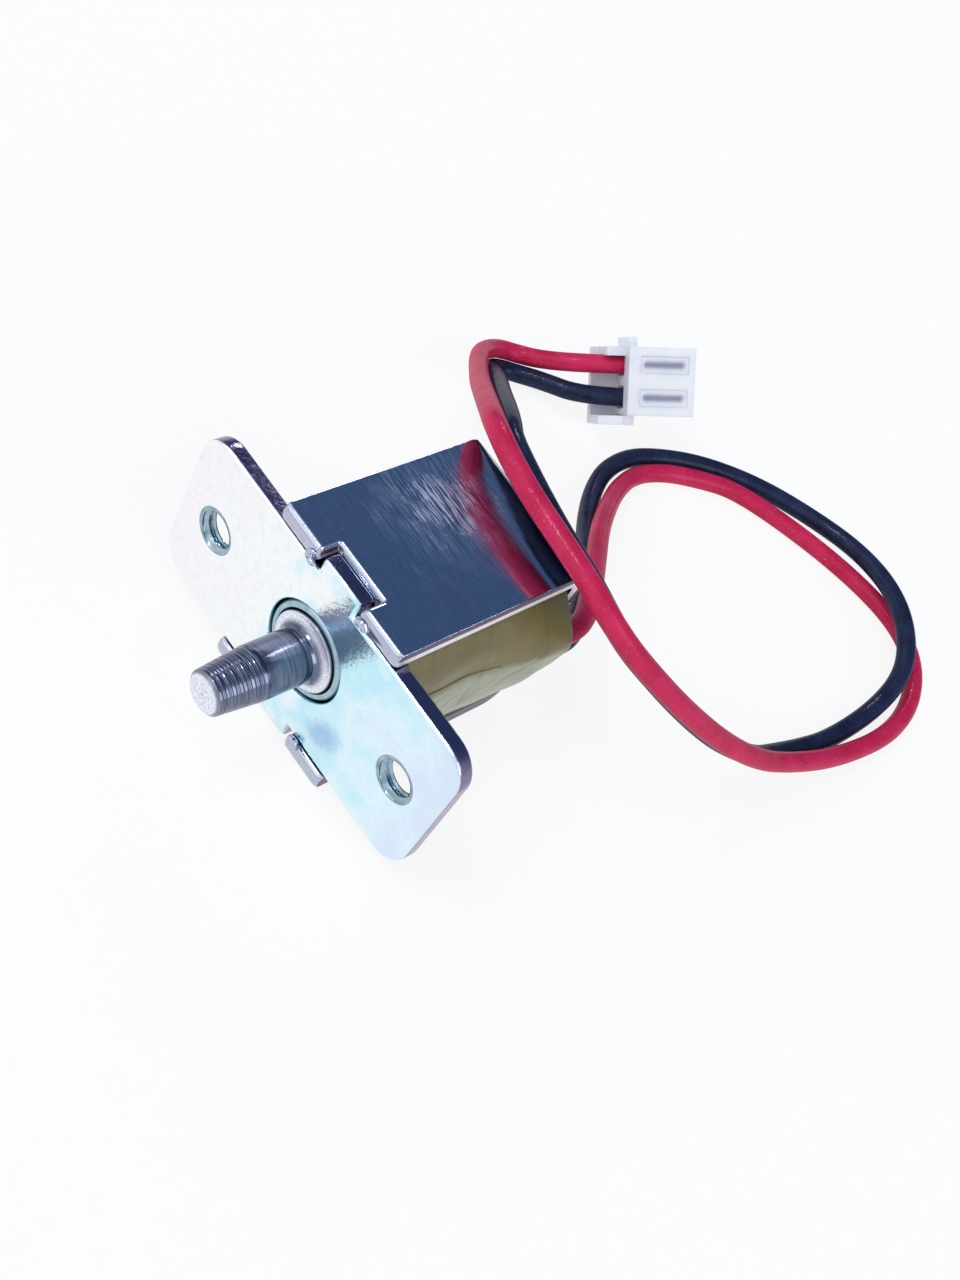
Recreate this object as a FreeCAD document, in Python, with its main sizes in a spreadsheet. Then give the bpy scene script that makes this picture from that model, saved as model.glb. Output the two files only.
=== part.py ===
"""A small push-pull electromagnet: a U-shaped yoke, a flange plate staked into it, a taped coil on a
bobbin, a sprung plunger with a turned pin, and two leads that end in a two-way plug.

X runs along the plate's long side, Y into the coil, Z up. The origin is the centre of the plate's
front face, on the plunger's axis. The yoke lies on its bottom arm. Sizes are in millimetres.
"""
import FreeCAD, Part
import math
import os
import re
import Sketcher

SIZES = [
    ("plate_length", 25.0, "flange plate, side to side"),
    ("plate_gap", 0.25, "gap between the plate and the inside of each arm"),
    ("plate_thick", 1.2, "flange plate sheet"),
    ("plate_corner", 2.1, "corner radius of the plate"),
    ("plate_roll", 0.15, "rounded front edge of the plate"),
    ("tongue_width", 3.4, "tongues of the plate that sit in the yoke's notches"),
    ("tongue_short", 0.3, "how far a tongue stops below the arm's outer face"),
    ("tongue_gap", 0.3, "gap beside a tongue in its notch"),
    ("notch_play", 0.03, "gap behind a tongue in its notch"),
    ("screw_edge", 3.3, "screw holes, from the ends of the plate"),
    ("screw_drill", 2.5, "tapping drill of the screw holes"),
    ("screw_chamfer", 0.3, "countersink of the screw holes"),
    ("window_dia", 6.4, "hole in the plate that the plunger comes through"),
    ("window_chamfer", 0.2, "chamfer of that hole"),
    ("yoke_width", 11.0, "yoke strip, side to side"),
    ("yoke_height", 14.5, "yoke over both arms"),
    ("yoke_depth", 15.4, "yoke, front of the arms to the back of the rear wall"),
    ("yoke_sheet", 1.2, "yoke strip thickness"),
    ("bend_outer", 1.5, "outer radius of the yoke's two bends"),
    ("bend_inner", 0.3, "inner radius of the yoke's two bends"),
    ("arm_roll", 0.3, "rounded front edge of the arms"),
    ("stake_offset", 2.75, "staked dimples, from the middle of the notch"),
    ("stake_dia", 1.1, "staked dimple diameter"),
    ("stake_height", 0.2, "staked dimple, proud of the plate"),
    ("axial_play", 0.05, "play of the bobbin and the plates on the axis"),
    ("flange_half_width", 6.0, "bobbin flange, middle to side"),
    ("flange_gap", 0.2, "gap between a bobbin flange and each arm"),
    ("flange_corner", 3.2, "corner radius of the bobbin flanges"),
    ("flange_thick", 0.7, "bobbin flange thickness"),
    ("bobbin_bore", 5.66, "bore of the bobbin tube"),
    ("bobbin_wall", 0.35, "wall of the bobbin tube"),
    ("gate_half_height", 1.75, "lead gate in the rear flange, half its height"),
    ("gate_middle", 2.2, "height of the lead gate's middle"),
    ("gate_inner", 4.88, "lead gate, from the axis to its floor"),
    ("winding_half_width", 4.74, "winding, middle to side"),
    ("winding_inset", 0.55, "winding below the edge of the flanges, top and bottom"),
    ("winding_corner", 3.0, "corner radius of the winding"),
    ("winding_play", 0.04, "play between winding and bobbin"),
    ("pad_thick", 0.1, "paper pad under the splices"),
    ("pad_inset", 0.5, "paper pad, in front of the winding's rear end"),
    ("pad_height", 4.4, "paper pad, bottom to top"),
    ("tape_thick", 0.12, "tape round the coil"),
    ("tape_play", 0.02, "tape over the flanges"),
    ("tape_right", 6.46, "inside of the tape over the splices"),
    ("tape_mouth", 7.8, "inside of the tape where the leads come out"),
    ("tape_flare", 5.2, "flare of the tape, along the axis from the rear wall"),
    ("tape_crease", 3.3, "height of the crease along the tape's side"),
    ("tape_under", 2.7, "depth below the axis where the tape's side turns under"),
    ("tape_rise", 0.6, "how much the crease rises to the mouth"),
    ("tape_pinch", 1.6, "height of the mouth's flat side"),
    ("tape_tuck", 0.26, "how far the tape's side tucks in under the mouth"),
    ("tape_corner", 0.9, "chamfer of the tape's right corners"),
    ("tape_front_gap", 0.1, "tape behind the plate"),
    ("tape_rear_gap", 0.15, "tape in front of the rear wall"),
    ("tail_end_height", 3.0, "free end of the tape, along the side"),
    ("sleeve_outer", 5.6, "brass guide sleeve, outside"),
    ("sleeve_inner", 5.2, "brass guide sleeve, bore"),
    ("plunger_dia", 5.1, "plunger body"),
    ("air_gap", 3.3, "plunger to fixed core at rest"),
    ("boss_dia", 4.2, "turned boss at the foot of the pin"),
    ("boss_length", 0.5, "boss, along the axis"),
    ("boss_fillet", 0.2, "slope from the boss to the plunger's face"),
    ("pin_dia", 3.4, "pin, straight part"),
    ("pin_straight", 3.5, "straight part of the pin ends this far out"),
    ("pin_tip_dia", 2.8, "pin at its tip"),
    ("pin_length", 6.9, "pin beyond the plate"),
    ("pin_chamfer", 0.2, "chamfer of the tip"),
    ("tail_dia", 1.6, "tail rod of the plunger"),
    ("tail_beyond", 2.7, "tail rod behind the rear wall at rest"),
    ("tail_chamfer", 0.2, "chamfer of the tail rod"),
    ("groove_depth", 0.25, "ring groove of the tail rod"),
    ("groove_width", 0.42, "ring groove along the axis"),
    ("ring_thick", 0.36, "retaining ring"),
    ("ring_outer", 3.4, "retaining ring, outside"),
    ("ring_mouth", 0.9, "mouth of the retaining ring"),
    ("ring_fit", 0.02, "play of the ring in its groove"),
    ("spring_wire", 0.35, "return spring wire"),
    ("spring_outer", 3.9, "return spring, outside"),
    ("spring_pocket", 4.2, "pockets that hold the spring's ends"),
    ("pocket_plunger", 2.8, "depth of the pocket in the plunger"),
    ("pocket_core", 1.2, "depth of the pocket in the core"),
    ("spring_turns", 8.0, "turns of the return spring"),
    ("spring_play", 0.05, "play at each end of the spring"),
    ("core_dia", 5.1, "fixed core"),
    ("core_length", 4.6, "fixed core in front of the rear wall"),
    ("core_bore", 2.0, "bore of the core for the tail rod"),
    ("rivet_dia", 4.0, "core shank riveted through the rear wall"),
    ("rivet_head_dia", 4.8, "riveted head behind the rear wall"),
    ("rivet_head", 0.3, "riveted head, along the axis"),
    ("washer_outer", 4.4, "buffer washer"),
    ("washer_thick", 0.5, "buffer washer thickness"),
    ("lead_dia", 1.45, "insulated lead"),
    ("splice_dia", 1.56, "insulated splice between coil wire and lead"),
    ("splice_length", 2.6, "splice along the axis"),
    ("splice_inset", 5.7, "rear end of the splices, in front of the rear wall"),
    ("lead_out", 5.65, "splices, from the axis to the side"),
    ("red_height", 2.4, "red lead's splice, above the axis"),
    ("black_height", 0.8, "black lead's splice, above the axis"),
    ("lead_straight", 2.0, "straight start of the leads behind the splices"),
    ("wire_dia", 0.3, "coil wire tail with its varnish"),
    ("wire_length", 2.0, "coil wire tail from the winding to the splice"),
    ("plug_pitch", 2.5, "contact to contact in the plug"),
    ("plug_body_width", 5.2, "plug body across the pitch"),
    ("plug_thick", 4.4, "plug body, back to front"),
    ("plug_length", 5.3, "plug body, wire side to mating end"),
    ("plug_cavity", 1.7, "contact chamber width"),
    ("plug_window_width", 1.3, "latch window width"),
    ("plug_window_start", 0.95, "latch window from the wire side"),
    ("plug_window_length", 3.8, "latch window length"),
    ("plug_collar_width", 6.7, "collar across the pitch"),
    ("plug_collar_start", 0.05, "collar from the wire side"),
    ("plug_collar_length", 0.75, "collar along the plug"),
    ("cradle_length", 2.0, "wire cradle behind the plug body"),
    ("cradle_short", 1.5, "the cradle's upper wall"),
    ("cradle_wall", 0.7, "wall of the wire cradle"),
    ("cradle_floor", 0.8, "floor of the wire cradle"),
    ("cradle_height", 3.4, "side wall of the wire cradle"),
    ("contact_width", 1.6, "contact box width"),
    ("contact_sheet", 0.2, "contact sheet metal"),
    ("contact_start", 1.2, "contact from the wire side"),
    ("contact_length", 3.8, "contact box length"),
    ("plug_x", -11.64, "plug as it lies, middle of its wire side"),
    ("plug_y", 41.11, "plug as it lies, middle of its wire side"),
    ("plug_z", -2.94, "plug as it lies, middle of its wire side"),
    ("plug_heading", 57.3, "plug's heading from the X axis, in degrees"),
    ("plug_rise", 14.8, "plug's nose above level, in degrees"),
    ("plug_roll", 44.5, "plug rolled on its own axis, in degrees"),
]

# The two leads as they lie, chosen by eye: out of the tape's mouth beside the rear wall, round a loop on
# the table, back over the yoke, down to the table again and through a tight fold behind the plug. The
# first two and last two points of each lead come from its splice and its contact.
RED_ROUTE = [
    (6.6, 13.2, 2.9), (6.8, 16.2, 2.7), (4.7, 20.1, 1.4), (2.1, 23.9, -0.2), (-0.6, 28.0, -2.3),
    (-2.8, 32.3, -4.4), (-4.7, 36.5, -6.0), (-5.4, 39.6, -6.525), (-4.7, 42.5, -6.525),
    (-2.9, 45.2, -6.525), (-0.8, 47.8, -6.525), (4.6, 50.3, -6.525), (10.2, 52.0, -6.525),
    (15.0, 52.4, -6.525), (18.4, 50.9, -6.525), (20.9, 47.5, -6.525), (22.0, 42.6, -6.4),
    (21.3, 35.5, -5.6), (19.8, 29.3, -4.0), (17.0, 24.0, -1.4), (14.1, 19.1, 2.0), (11.6, 14.9, 6.1),
    (9.9, 11.2, 9.9), (7.9, 7.4, 13.9), (4.5, 6.2, 15.8), (0.7, 6.6, 16.0), (-2.9, 8.9, 15.3),
    (-7.4, 13.5, 12.8), (-12.7, 21.9, 5.7), (-17.0, 29.0, -1.2), (-19.1, 33.2, -5.0),
    (-18.8, 35.8, -5.9), (-16.9, 37.0, -4.8),
]
BLACK_ROUTE = [
    (6.5, 13.1, 1.2), (6.7, 16.3, 0.9), (4.5, 20.3, -0.4), (2.2, 23.8, -2.0), (-0.6, 27.7, -4.2),
    (-3.1, 31.2, -5.8), (-5.4, 34.5, -6.525), (-6.8, 37.3, -6.525), (-7.0, 40.2, -6.525),
    (-6.2, 43.0, -6.525), (-4.1, 46.6, -6.525), (-0.5, 50.3, -6.525), (4.0, 52.7, -6.3),
    (8.8, 53.4, -5.4), (13.2, 52.0, -4.4), (16.7, 49.5, -4.2), (19.0, 47.1, -5.2), (19.9, 43.5, -6.525),
    (19.7, 37.9, -6.525), (19.2, 32.9, -6.5), (17.7, 28.4, -5.3), (15.2, 24.2, -2.9), (12.8, 19.9, 0.5),
    (10.7, 16.4, 4.3), (8.8, 12.7, 8.7), (7.1, 9.4, 12.6), (3.9, 8.3, 14.6), (0.0, 8.9, 14.9),
    (-3.5, 11.3, 13.6), (-7.4, 15.8, 10.6), (-12.2, 24.0, 2.4), (-15.9, 29.9, -2.9), (-17.4, 33.2, -5.4),
    (-16.9, 35.4, -6.1), (-15.3, 37.0, -5.6),
]


doc = FreeCAD.newDocument("Electromagnet")
Vector = FreeCAD.Vector
PIECES = []


# The sheet of sizes
sheet = doc.addObject("Spreadsheet::Sheet", "Size")
for row, (alias, value, words) in enumerate(SIZES, start=1):
    sheet.set(f"A{row}", words)
    sheet.set(f"B{row}", str(value))
    sheet.setAlias(f"B{row}", alias)
doc.recompute()
ALIASES = {alias for alias, value, words in SIZES}

# Places that several pieces share, as expressions on the sheet
ARM_INNER = "(yoke_height / 2 - yoke_sheet)"
WALL_FRONT = "(yoke_depth - yoke_sheet)"
PLATE_HALF = f"({ARM_INNER} - plate_gap)"
SCREW_OUT = "(plate_length / 2 - screw_edge)"
FLANGE_HALF = f"({ARM_INNER} - flange_gap)"
WINDING_HALF = f"({FLANGE_HALF} - winding_inset)"
CORE_FRONT = f"({WALL_FRONT} - core_length)"
PLUNGER_BACK = f"({CORE_FRONT} - air_gap)"
SPLICE_BACK = f"({WALL_FRONT} - splice_inset)"
TAPE_FLARE = f"({WALL_FRONT} - tape_flare)"
BOBBIN_FRONT = "(plate_thick + axial_play)"
BOBBIN_BACK = f"({WALL_FRONT} - axial_play)"
BOBBIN_TUBE = "(bobbin_bore / 2 + bobbin_wall)"
WINDING_FRONT = f"({BOBBIN_FRONT} + flange_thick + winding_play)"
WINDING_BACK = f"({BOBBIN_BACK} - flange_thick - winding_play)"
NOTCH_DEPTH = "(plate_thick + notch_play)"
HEAD_BACK = "(yoke_depth + rivet_head)"
WASHER_BACK = f"({HEAD_BACK} + axial_play + washer_thick)"
GROOVE_FRONT = f"({WASHER_BACK} + axial_play)"
GROOVE_DIA = "(tail_dia - 2 * groove_depth)"
SPRING_FRONT = f"({PLUNGER_BACK} - pocket_plunger + spring_play)"
SPRING_BACK = f"({CORE_FRONT} + pocket_core - spring_play)"
SPLICE_FRONT = f"({SPLICE_BACK} - splice_length)"


def tied(expression):
    """The expression with each size's name pointed at the sheet."""
    return re.sub(r"[a-z_]+", lambda word: "Size." + word[0] if word[0] in ALIASES else word[0], expression)


def number(expression):
    """The value of an expression on the sheet."""
    return float(sheet.evalExpression(tied(expression)))


def keep(shape_object, label):
    """Name a finished piece and list it for the export."""
    shape_object.Label = label
    PIECES.append(shape_object)
    return shape_object


def bind(target, **expressions):
    """Tie properties of an object to the sheet."""
    for prop, expression in expressions.items():
        target.setExpression(prop, tied(expression))
    return target


def place(target, x="0", y="0", z="0"):
    """Tie an object's position to the sheet."""
    target.setExpression("Placement.Base.x", tied(x))
    target.setExpression("Placement.Base.y", tied(y))
    target.setExpression("Placement.Base.z", tied(z))
    return target


def box(x0, x1, y0, y1, z0, z1):
    """A Part box between six expressions."""
    solid = doc.addObject("Part::Box", "Box")
    bind(solid, Length=f"({x1}) - ({x0})", Width=f"({y1}) - ({y0})", Height=f"({z1}) - ({z0})")
    return place(solid, x0, y0, z0)


def rod(radius, y0, y1, x="0", z="0"):
    """A Part cylinder along Y between two expressions."""
    solid = doc.addObject("Part::Cylinder", "Rod")
    solid.Placement.Rotation = FreeCAD.Rotation(Vector(1, 0, 0), -90)
    bind(solid, Radius=radius, Height=f"({y1}) - ({y0})")
    return place(solid, x, y0, z)


def cut(base, tool):
    """Base without tool."""
    result = doc.addObject("Part::Cut", "Cut")
    result.Base = base
    result.Tool = tool
    return result


def fuse(*solids):
    """The solids joined in one."""
    result = doc.addObject("Part::MultiFuse", "Fuse")
    result.Shapes = list(solids)
    result.Refine = True
    return result


def new_body(name):
    """An empty body."""
    return doc.addObject("PartDesign::Body", name)


def new_sketch(body, role, offset="0"):
    """A sketch on one of the body's origin planes, moved along the plane's normal."""
    sketch = body.newObject("Sketcher::SketchObject", "Sketch")
    plane = next(item for item in body.Origin.OriginFeatures if item.Role == role)
    sketch.AttachmentSupport = [(plane, "")]
    sketch.MapMode = "FlatFace"
    sketch.setExpression("AttachmentOffset.Base.z", tied(offset))
    return sketch


def front_sketch(body, y):
    """A sketch across the axis at y: its x is X and its y is Z."""
    return new_sketch(body, "XZ_Plane", f"-({y})")


def pin_point(sketch, geometry, end, x, y):
    """Tie a point of the sketch to two expressions."""
    for kind, expression, axis in (("DistanceX", x, -2), ("DistanceY", y, -1)):
        value = number(expression)
        if abs(value) < 1e-9:
            sketch.addConstraint(Sketcher.Constraint("PointOnObject", geometry, end, axis))
        else:
            index = sketch.addConstraint(Sketcher.Constraint(kind, -1, 1, geometry, end, value))
            sketch.setExpression(f"Constraints[{index}]", tied(expression))


def draw_outline(sketch, corners):
    """A closed line through corners given as pairs of expressions."""
    points = [Vector(number(x), number(y), 0) for x, y in corners]
    count = len(points)
    for index in range(count):
        sketch.addGeometry(Part.LineSegment(points[index], points[(index + 1) % count]), False)
    for index in range(count):
        sketch.addConstraint(Sketcher.Constraint("Coincident", index, 2, (index + 1) % count, 1))
    for index, (x, y) in enumerate(corners):
        pin_point(sketch, index, 1, x, y)
    return sketch


def draw_rectangle(sketch, left, right, bottom, top):
    """A rectangle between four expressions."""
    return draw_outline(sketch, [(left, bottom), (right, bottom), (right, top), (left, top)])


def draw_circle(sketch, radius, x="0", y="0"):
    """A circle tied by its radius and centre."""
    circle = Part.Circle(Vector(number(x), number(y), 0), Vector(0, 0, 1), number(radius))
    geometry = sketch.addGeometry(circle, False)
    index = sketch.addConstraint(Sketcher.Constraint("Radius", geometry, number(radius)))
    sketch.setExpression(f"Constraints[{index}]", tied(radius))
    pin_point(sketch, geometry, 3, x, y)
    return sketch


def draw_rounded(sketch, left, right, bottom, top, radius):
    """A rectangle with four equal corner arcs."""
    x0, x1, y0, y1, r = (number(item) for item in (left, right, bottom, top, radius))
    sides = [
        (Vector(x0 + r, y0, 0), Vector(x1 - r, y0, 0)),
        (Vector(x1, y0 + r, 0), Vector(x1, y1 - r, 0)),
        (Vector(x1 - r, y1, 0), Vector(x0 + r, y1, 0)),
        (Vector(x0, y1 - r, 0), Vector(x0, y0 + r, 0)),
    ]
    centres = [(x1 - r, y0 + r), (x1 - r, y1 - r), (x0 + r, y1 - r), (x0 + r, y0 + r)]
    for start, end in sides:
        sketch.addGeometry(Part.LineSegment(start, end), False)
    for quarter, (x, y) in enumerate(centres):
        circle = Part.Circle(Vector(x, y, 0), Vector(0, 0, 1), r)
        start = (quarter - 1) * math.pi / 2
        sketch.addGeometry(Part.ArcOfCircle(circle, start, start + math.pi / 2), False)
    for side in range(4):
        sketch.addConstraint(Sketcher.Constraint("Tangent", side, 2, side + 4, 1))
        sketch.addConstraint(Sketcher.Constraint("Tangent", side + 4, 2, (side + 1) % 4, 1))
        sketch.addConstraint(Sketcher.Constraint("Vertical" if side % 2 else "Horizontal", side))
    for arc in (5, 6, 7):
        sketch.addConstraint(Sketcher.Constraint("Equal", 4, arc))
    index = sketch.addConstraint(Sketcher.Constraint("Radius", 4, r))
    sketch.setExpression(f"Constraints[{index}]", tied(radius))
    for kind, side, expression in (
        ("DistanceY", 0, bottom),
        ("DistanceX", 1, right),
        ("DistanceY", 2, top),
        ("DistanceX", 3, left),
    ):
        index = sketch.addConstraint(Sketcher.Constraint(kind, -1, 1, side, 1, number(expression)))
        sketch.setExpression(f"Constraints[{index}]", tied(expression))
    return sketch


def feature(body, kind, sketch, length=None, **settings):
    """A sketched feature of the body, checked by what it does to the volume."""
    before = body.Shape.Volume if body.Tip else 0.0
    item = body.newObject("PartDesign::" + kind, kind)
    item.Profile = sketch
    sketch.Visibility = False
    for name, value in settings.items():
        setattr(item, name, value)
    if length is not None:
        item.setExpression("Length", tied(length))
    doc.recompute()
    change = body.Shape.Volume - before
    removes = kind in ("Pocket", "Groove")
    if (change > -1e-6) if removes else (change < 1e-6):
        raise RuntimeError(f"{body.Name}: {item.Name} changes the volume by {change:.4f}")
    return item


def pad_back(body, sketch, length):
    """Pad a front sketch towards +Y."""
    return feature(body, "Pad", sketch, length, Reversed=True)


def turn(body, profile):
    """Turn a profile of (y, radius) expressions about the plunger's axis."""
    sketch = draw_outline(new_sketch(body, "YZ_Plane"), profile)
    return feature(body, "Revolution", sketch, ReferenceAxis=(sketch, ["H_Axis"]), Angle=360.0)


def edge_names(shape, chosen):
    """Names of the edges whose middle point passes the test."""
    names = []
    for index, edge in enumerate(shape.Edges, start=1):
        middle = edge.valueAt((edge.FirstParameter + edge.LastParameter) / 2)
        if chosen(edge, middle):
            names.append(f"Edge{index}")
    return names


def dress(body, kind, size, chosen):
    """Fillet or chamfer the edges that pass the test."""
    base = body.Tip
    names = edge_names(base.Shape, chosen)
    if not names:
        raise RuntimeError(f"{body.Name}: no edge to {kind.lower()}")
    item = body.newObject("PartDesign::" + kind, kind)
    item.Base = (base, names)
    item.setExpression("Radius" if kind == "Fillet" else "Size", tied(size))
    doc.recompute()
    return item


def near(value, expression):
    """Whether a coordinate lies at an expression's value."""
    return abs(value - number(expression)) < 1e-4


def is_ring(edge, radius):
    """Whether an edge is round with a radius given as an expression."""
    return edge.Curve.TypeId == "Part::GeomCircle" and near(edge.Curve.Radius, radius)


def along_x(edge):
    """Whether an edge is straight and runs along X."""
    return edge.Curve.TypeId == "Part::GeomLine" and abs(edge.Curve.Direction.x) > 0.999


def make_yoke_frame():
    """Steel strip bent into a U, notched at the front, staked beside the tongues."""
    body = new_body("YokeFrame")
    half, inner, depth = "(yoke_height / 2)", ARM_INNER, "yoke_depth"
    profile = [
        ("0", half), ("0", inner), (WALL_FRONT, inner), (WALL_FRONT, f"-{inner}"),
        ("0", f"-{inner}"), ("0", f"-{half}"), (depth, f"-{half}"), (depth, half),
    ]
    sketch = draw_outline(new_sketch(body, "YZ_Plane"), profile)
    feature(body, "Pad", sketch, "yoke_width", Midplane=True)
    dress(body, "Fillet", "bend_outer",
          lambda edge, p: along_x(edge) and near(p.y, depth) and near(abs(p.z), half))
    dress(body, "Fillet", "bend_inner",
          lambda edge, p: along_x(edge) and near(p.y, WALL_FRONT) and near(abs(p.z), inner))
    dress(body, "Fillet", "arm_roll",
          lambda edge, p: along_x(edge) and abs(p.y) < 1e-4 and near(abs(p.z), half))
    side = "(tongue_width / 2 + tongue_gap)"
    notch = draw_rectangle(new_sketch(body, "XY_Plane"), f"-{side}", side, "-yoke_sheet", NOTCH_DEPTH)
    feature(body, "Pocket", notch, "2 * yoke_height", Midplane=True)
    hole = draw_circle(front_sketch(body, WALL_FRONT), "rivet_dia / 2")
    feature(body, "Pocket", hole, "2 * yoke_sheet")
    height = f"({inner} + stake_dia / 10)"
    for x, z in (("stake_offset", height), ("-stake_offset", height),
                 ("stake_offset", f"-{height}"), ("-stake_offset", f"-{height}")):
        dimple = draw_circle(front_sketch(body, "0"), "stake_dia / 2", x, z)
        feature(body, "Pad", dimple, "stake_height")
    dress(body, "Fillet", "stake_height / 2",
          lambda edge, p: near(p.y, "-stake_height"))
    return keep(body, "yoke_frame")


def make_flange_plate():
    """Plate with two tongues, two tapped holes and the plunger's window."""
    body = new_body("FlangePlate")
    half_length, half_height = "(plate_length / 2)", PLATE_HALF
    outline = draw_rounded(front_sketch(body, "0"), f"-{half_length}", half_length,
                           f"-{half_height}", half_height, "plate_corner")
    pad_back(body, outline, "plate_thick")
    tongue, reach = "(tongue_width / 2)", "(yoke_height / 2 - tongue_short)"
    tongues = draw_rectangle(front_sketch(body, "0"), f"-{tongue}", tongue, f"-{reach}", reach)
    pad_back(body, tongues, "plate_thick")
    dress(body, "Fillet", "plate_roll",
          lambda edge, p: abs(p.y) < 1e-4 and near(abs(p.z), half_height) and along_x(edge))
    window = draw_circle(front_sketch(body, "0"), "window_dia / 2")
    feature(body, "Pocket", window, "2 * plate_thick")
    for x in (SCREW_OUT, f"-{SCREW_OUT}"):
        hole = draw_circle(front_sketch(body, "0"), "screw_drill / 2", x)
        feature(body, "Pocket", hole, "2 * plate_thick")
    dress(body, "Chamfer", "window_chamfer",
          lambda edge, p: abs(p.y) < 1e-4 and is_ring(edge, "window_dia / 2"))
    dress(body, "Chamfer", "screw_chamfer",
          lambda edge, p: abs(p.y) < 1e-4 and is_ring(edge, "screw_drill / 2"))
    return keep(body, "flange_plate")


def make_bobbin():
    """Moulded bobbin: tube, two flanges, and a gate in the rear flange for the leads."""
    body = new_body("Bobbin")
    width, height = "flange_half_width", FLANGE_HALF
    for start in (BOBBIN_FRONT, f"({BOBBIN_BACK} - flange_thick)"):
        flange = draw_rounded(front_sketch(body, start), f"-{width}", width, f"-{height}", height,
                              "flange_corner")
        if start == BOBBIN_FRONT:
            pad_back(body, flange, "flange_thick")
            tube = draw_circle(front_sketch(body, BOBBIN_FRONT), BOBBIN_TUBE)
            pad_back(body, tube, f"{BOBBIN_BACK} - {BOBBIN_FRONT}")
        else:
            pad_back(body, flange, "flange_thick")
    bore = draw_circle(front_sketch(body, "0"), "bobbin_bore / 2")
    feature(body, "Pocket", bore, "2 * yoke_depth")
    gate = draw_rectangle(front_sketch(body, f"{BOBBIN_BACK} - 2 * flange_thick"),
                          "gate_inner", "2 * flange_half_width",
                          "gate_middle - gate_half_height", "gate_middle + gate_half_height")
    feature(body, "Pocket", gate, "3 * flange_thick")
    return keep(body, "bobbin")


def make_coil_winding():
    """Enamelled copper wire wound on the bobbin, as one mass."""
    body = new_body("CoilWinding")
    width, height = "winding_half_width", WINDING_HALF
    outline = draw_rounded(front_sketch(body, WINDING_FRONT), f"-{width}", width, f"-{height}", height,
                           "winding_corner")
    pad_back(body, outline, f"{WINDING_BACK} - {WINDING_FRONT}")
    bore = draw_circle(front_sketch(body, "0"), f"{BOBBIN_TUBE} + winding_play")
    feature(body, "Pocket", bore, "2 * yoke_depth")
    return keep(body, "coil_winding")


def make_insulation_pad():
    """Paper strip between the winding and the splices."""
    inner = "(winding_half_width + winding_play / 2)"
    pad = box(inner, f"{inner} + pad_thick", SPLICE_FRONT, f"{WINDING_BACK} - pad_inset",
              "gate_middle - pad_height / 2", "gate_middle + pad_height / 2")
    return keep(pad, "insulation_pad")


def tape_section(y, side, crease, under, tuck, grown):
    """One cross-section of the tape's inside, grown outwards by an expression."""
    sketch = doc.addObject("Sketcher::SketchObject", "TapeSection")
    sketch.Placement = FreeCAD.Placement(Vector(0, 0, 0), FreeCAD.Rotation(Vector(1, 0, 0), 90))
    place(sketch, "0", y, "0")
    wide, high = f"(flange_half_width + tape_play + {grown})", f"({FLANGE_HALF} + tape_play + {grown})"
    cut_off = "(flange_corner * 0.586)"
    corner = f"({wide} - tape_corner)"
    return draw_outline(sketch, [
        (f"-({wide} - {cut_off})", f"-{high}"), (corner, f"-{high}"), (f"{tuck} + {grown}", "-tape_under"),
        (f"{side} + {grown}", under), (f"{side} + {grown}", crease), (corner, high),
        (f"-({wide} - {cut_off})", high), (f"-{wide}", f"{high} - {cut_off}"),
        (f"-{wide}", f"{cut_off} - {high}"),
    ])


def tape_solid(grown):
    """The space inside the tape, grown outwards: straight, then flared and pinched round the leads."""
    straight = ("tape_right", "tape_crease", "0.001", "tape_right")
    rise = "tape_crease + tape_rise"
    mouth = ("tape_mouth", rise, f"{rise} - tape_pinch", "tape_right - tape_tuck")
    stations = [
        ("(plate_thick + tape_front_gap)", *straight),
        (TAPE_FLARE, *straight),
        (f"({WALL_FRONT} - tape_rear_gap)", *mouth),
    ]
    solid = doc.addObject("Part::Loft", "TapeLoft")
    solid.Sections = [tape_section(*station, grown) for station in stations]
    solid.Solid = True
    solid.Ruled = True
    return solid


def make_tape_wrap():
    """Adhesive tape wound round the coil and the splices."""
    return keep(cut(tape_solid("tape_thick"), tape_solid("0")), "tape_wrap")


def make_tape_end():
    """The free end of the tape, stuck down on the right side."""
    outer = "(tape_right + tape_thick)"
    flap = box(outer, f"{outer} + tape_thick", "(plate_thick + tape_front_gap)", TAPE_FLARE,
               "gate_middle - tail_end_height", "gate_middle")
    return keep(flap, "tape_end")


def make_guide_sleeve():
    """Thin brass tube that guides the plunger."""
    outer = rod("sleeve_outer / 2", BOBBIN_FRONT, BOBBIN_BACK)
    inner = rod("sleeve_inner / 2", f"{BOBBIN_FRONT} - 1", f"{BOBBIN_BACK} + 1")
    return keep(cut(outer, inner), "guide_sleeve")


def make_fixed_core():
    """Soft-iron core riveted through the rear wall, bored for the tail rod."""
    body = new_body("FixedCore")
    bore, pocket = "core_bore / 2", "spring_pocket / 2"
    floor = f"({CORE_FRONT} + pocket_core)"
    turn(body, [
        (CORE_FRONT, pocket), (CORE_FRONT, "core_dia / 2"), (WALL_FRONT, "core_dia / 2"),
        (WALL_FRONT, "rivet_dia / 2"), ("yoke_depth", "rivet_dia / 2"),
        ("yoke_depth", "rivet_head_dia / 2"), (HEAD_BACK, "rivet_dia / 2"), (HEAD_BACK, bore),
        (floor, bore), (floor, pocket),
    ])
    return keep(body, "fixed_core")


def make_buffer_washer():
    """Rubber washer that the retaining ring stops against."""
    front = f"({HEAD_BACK} + axial_play)"
    outer = rod("washer_outer / 2", front, WASHER_BACK)
    inner = rod("core_bore / 2", f"{front} - 1", f"{WASHER_BACK} + 1")
    return keep(cut(outer, inner), "buffer_washer")


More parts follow.
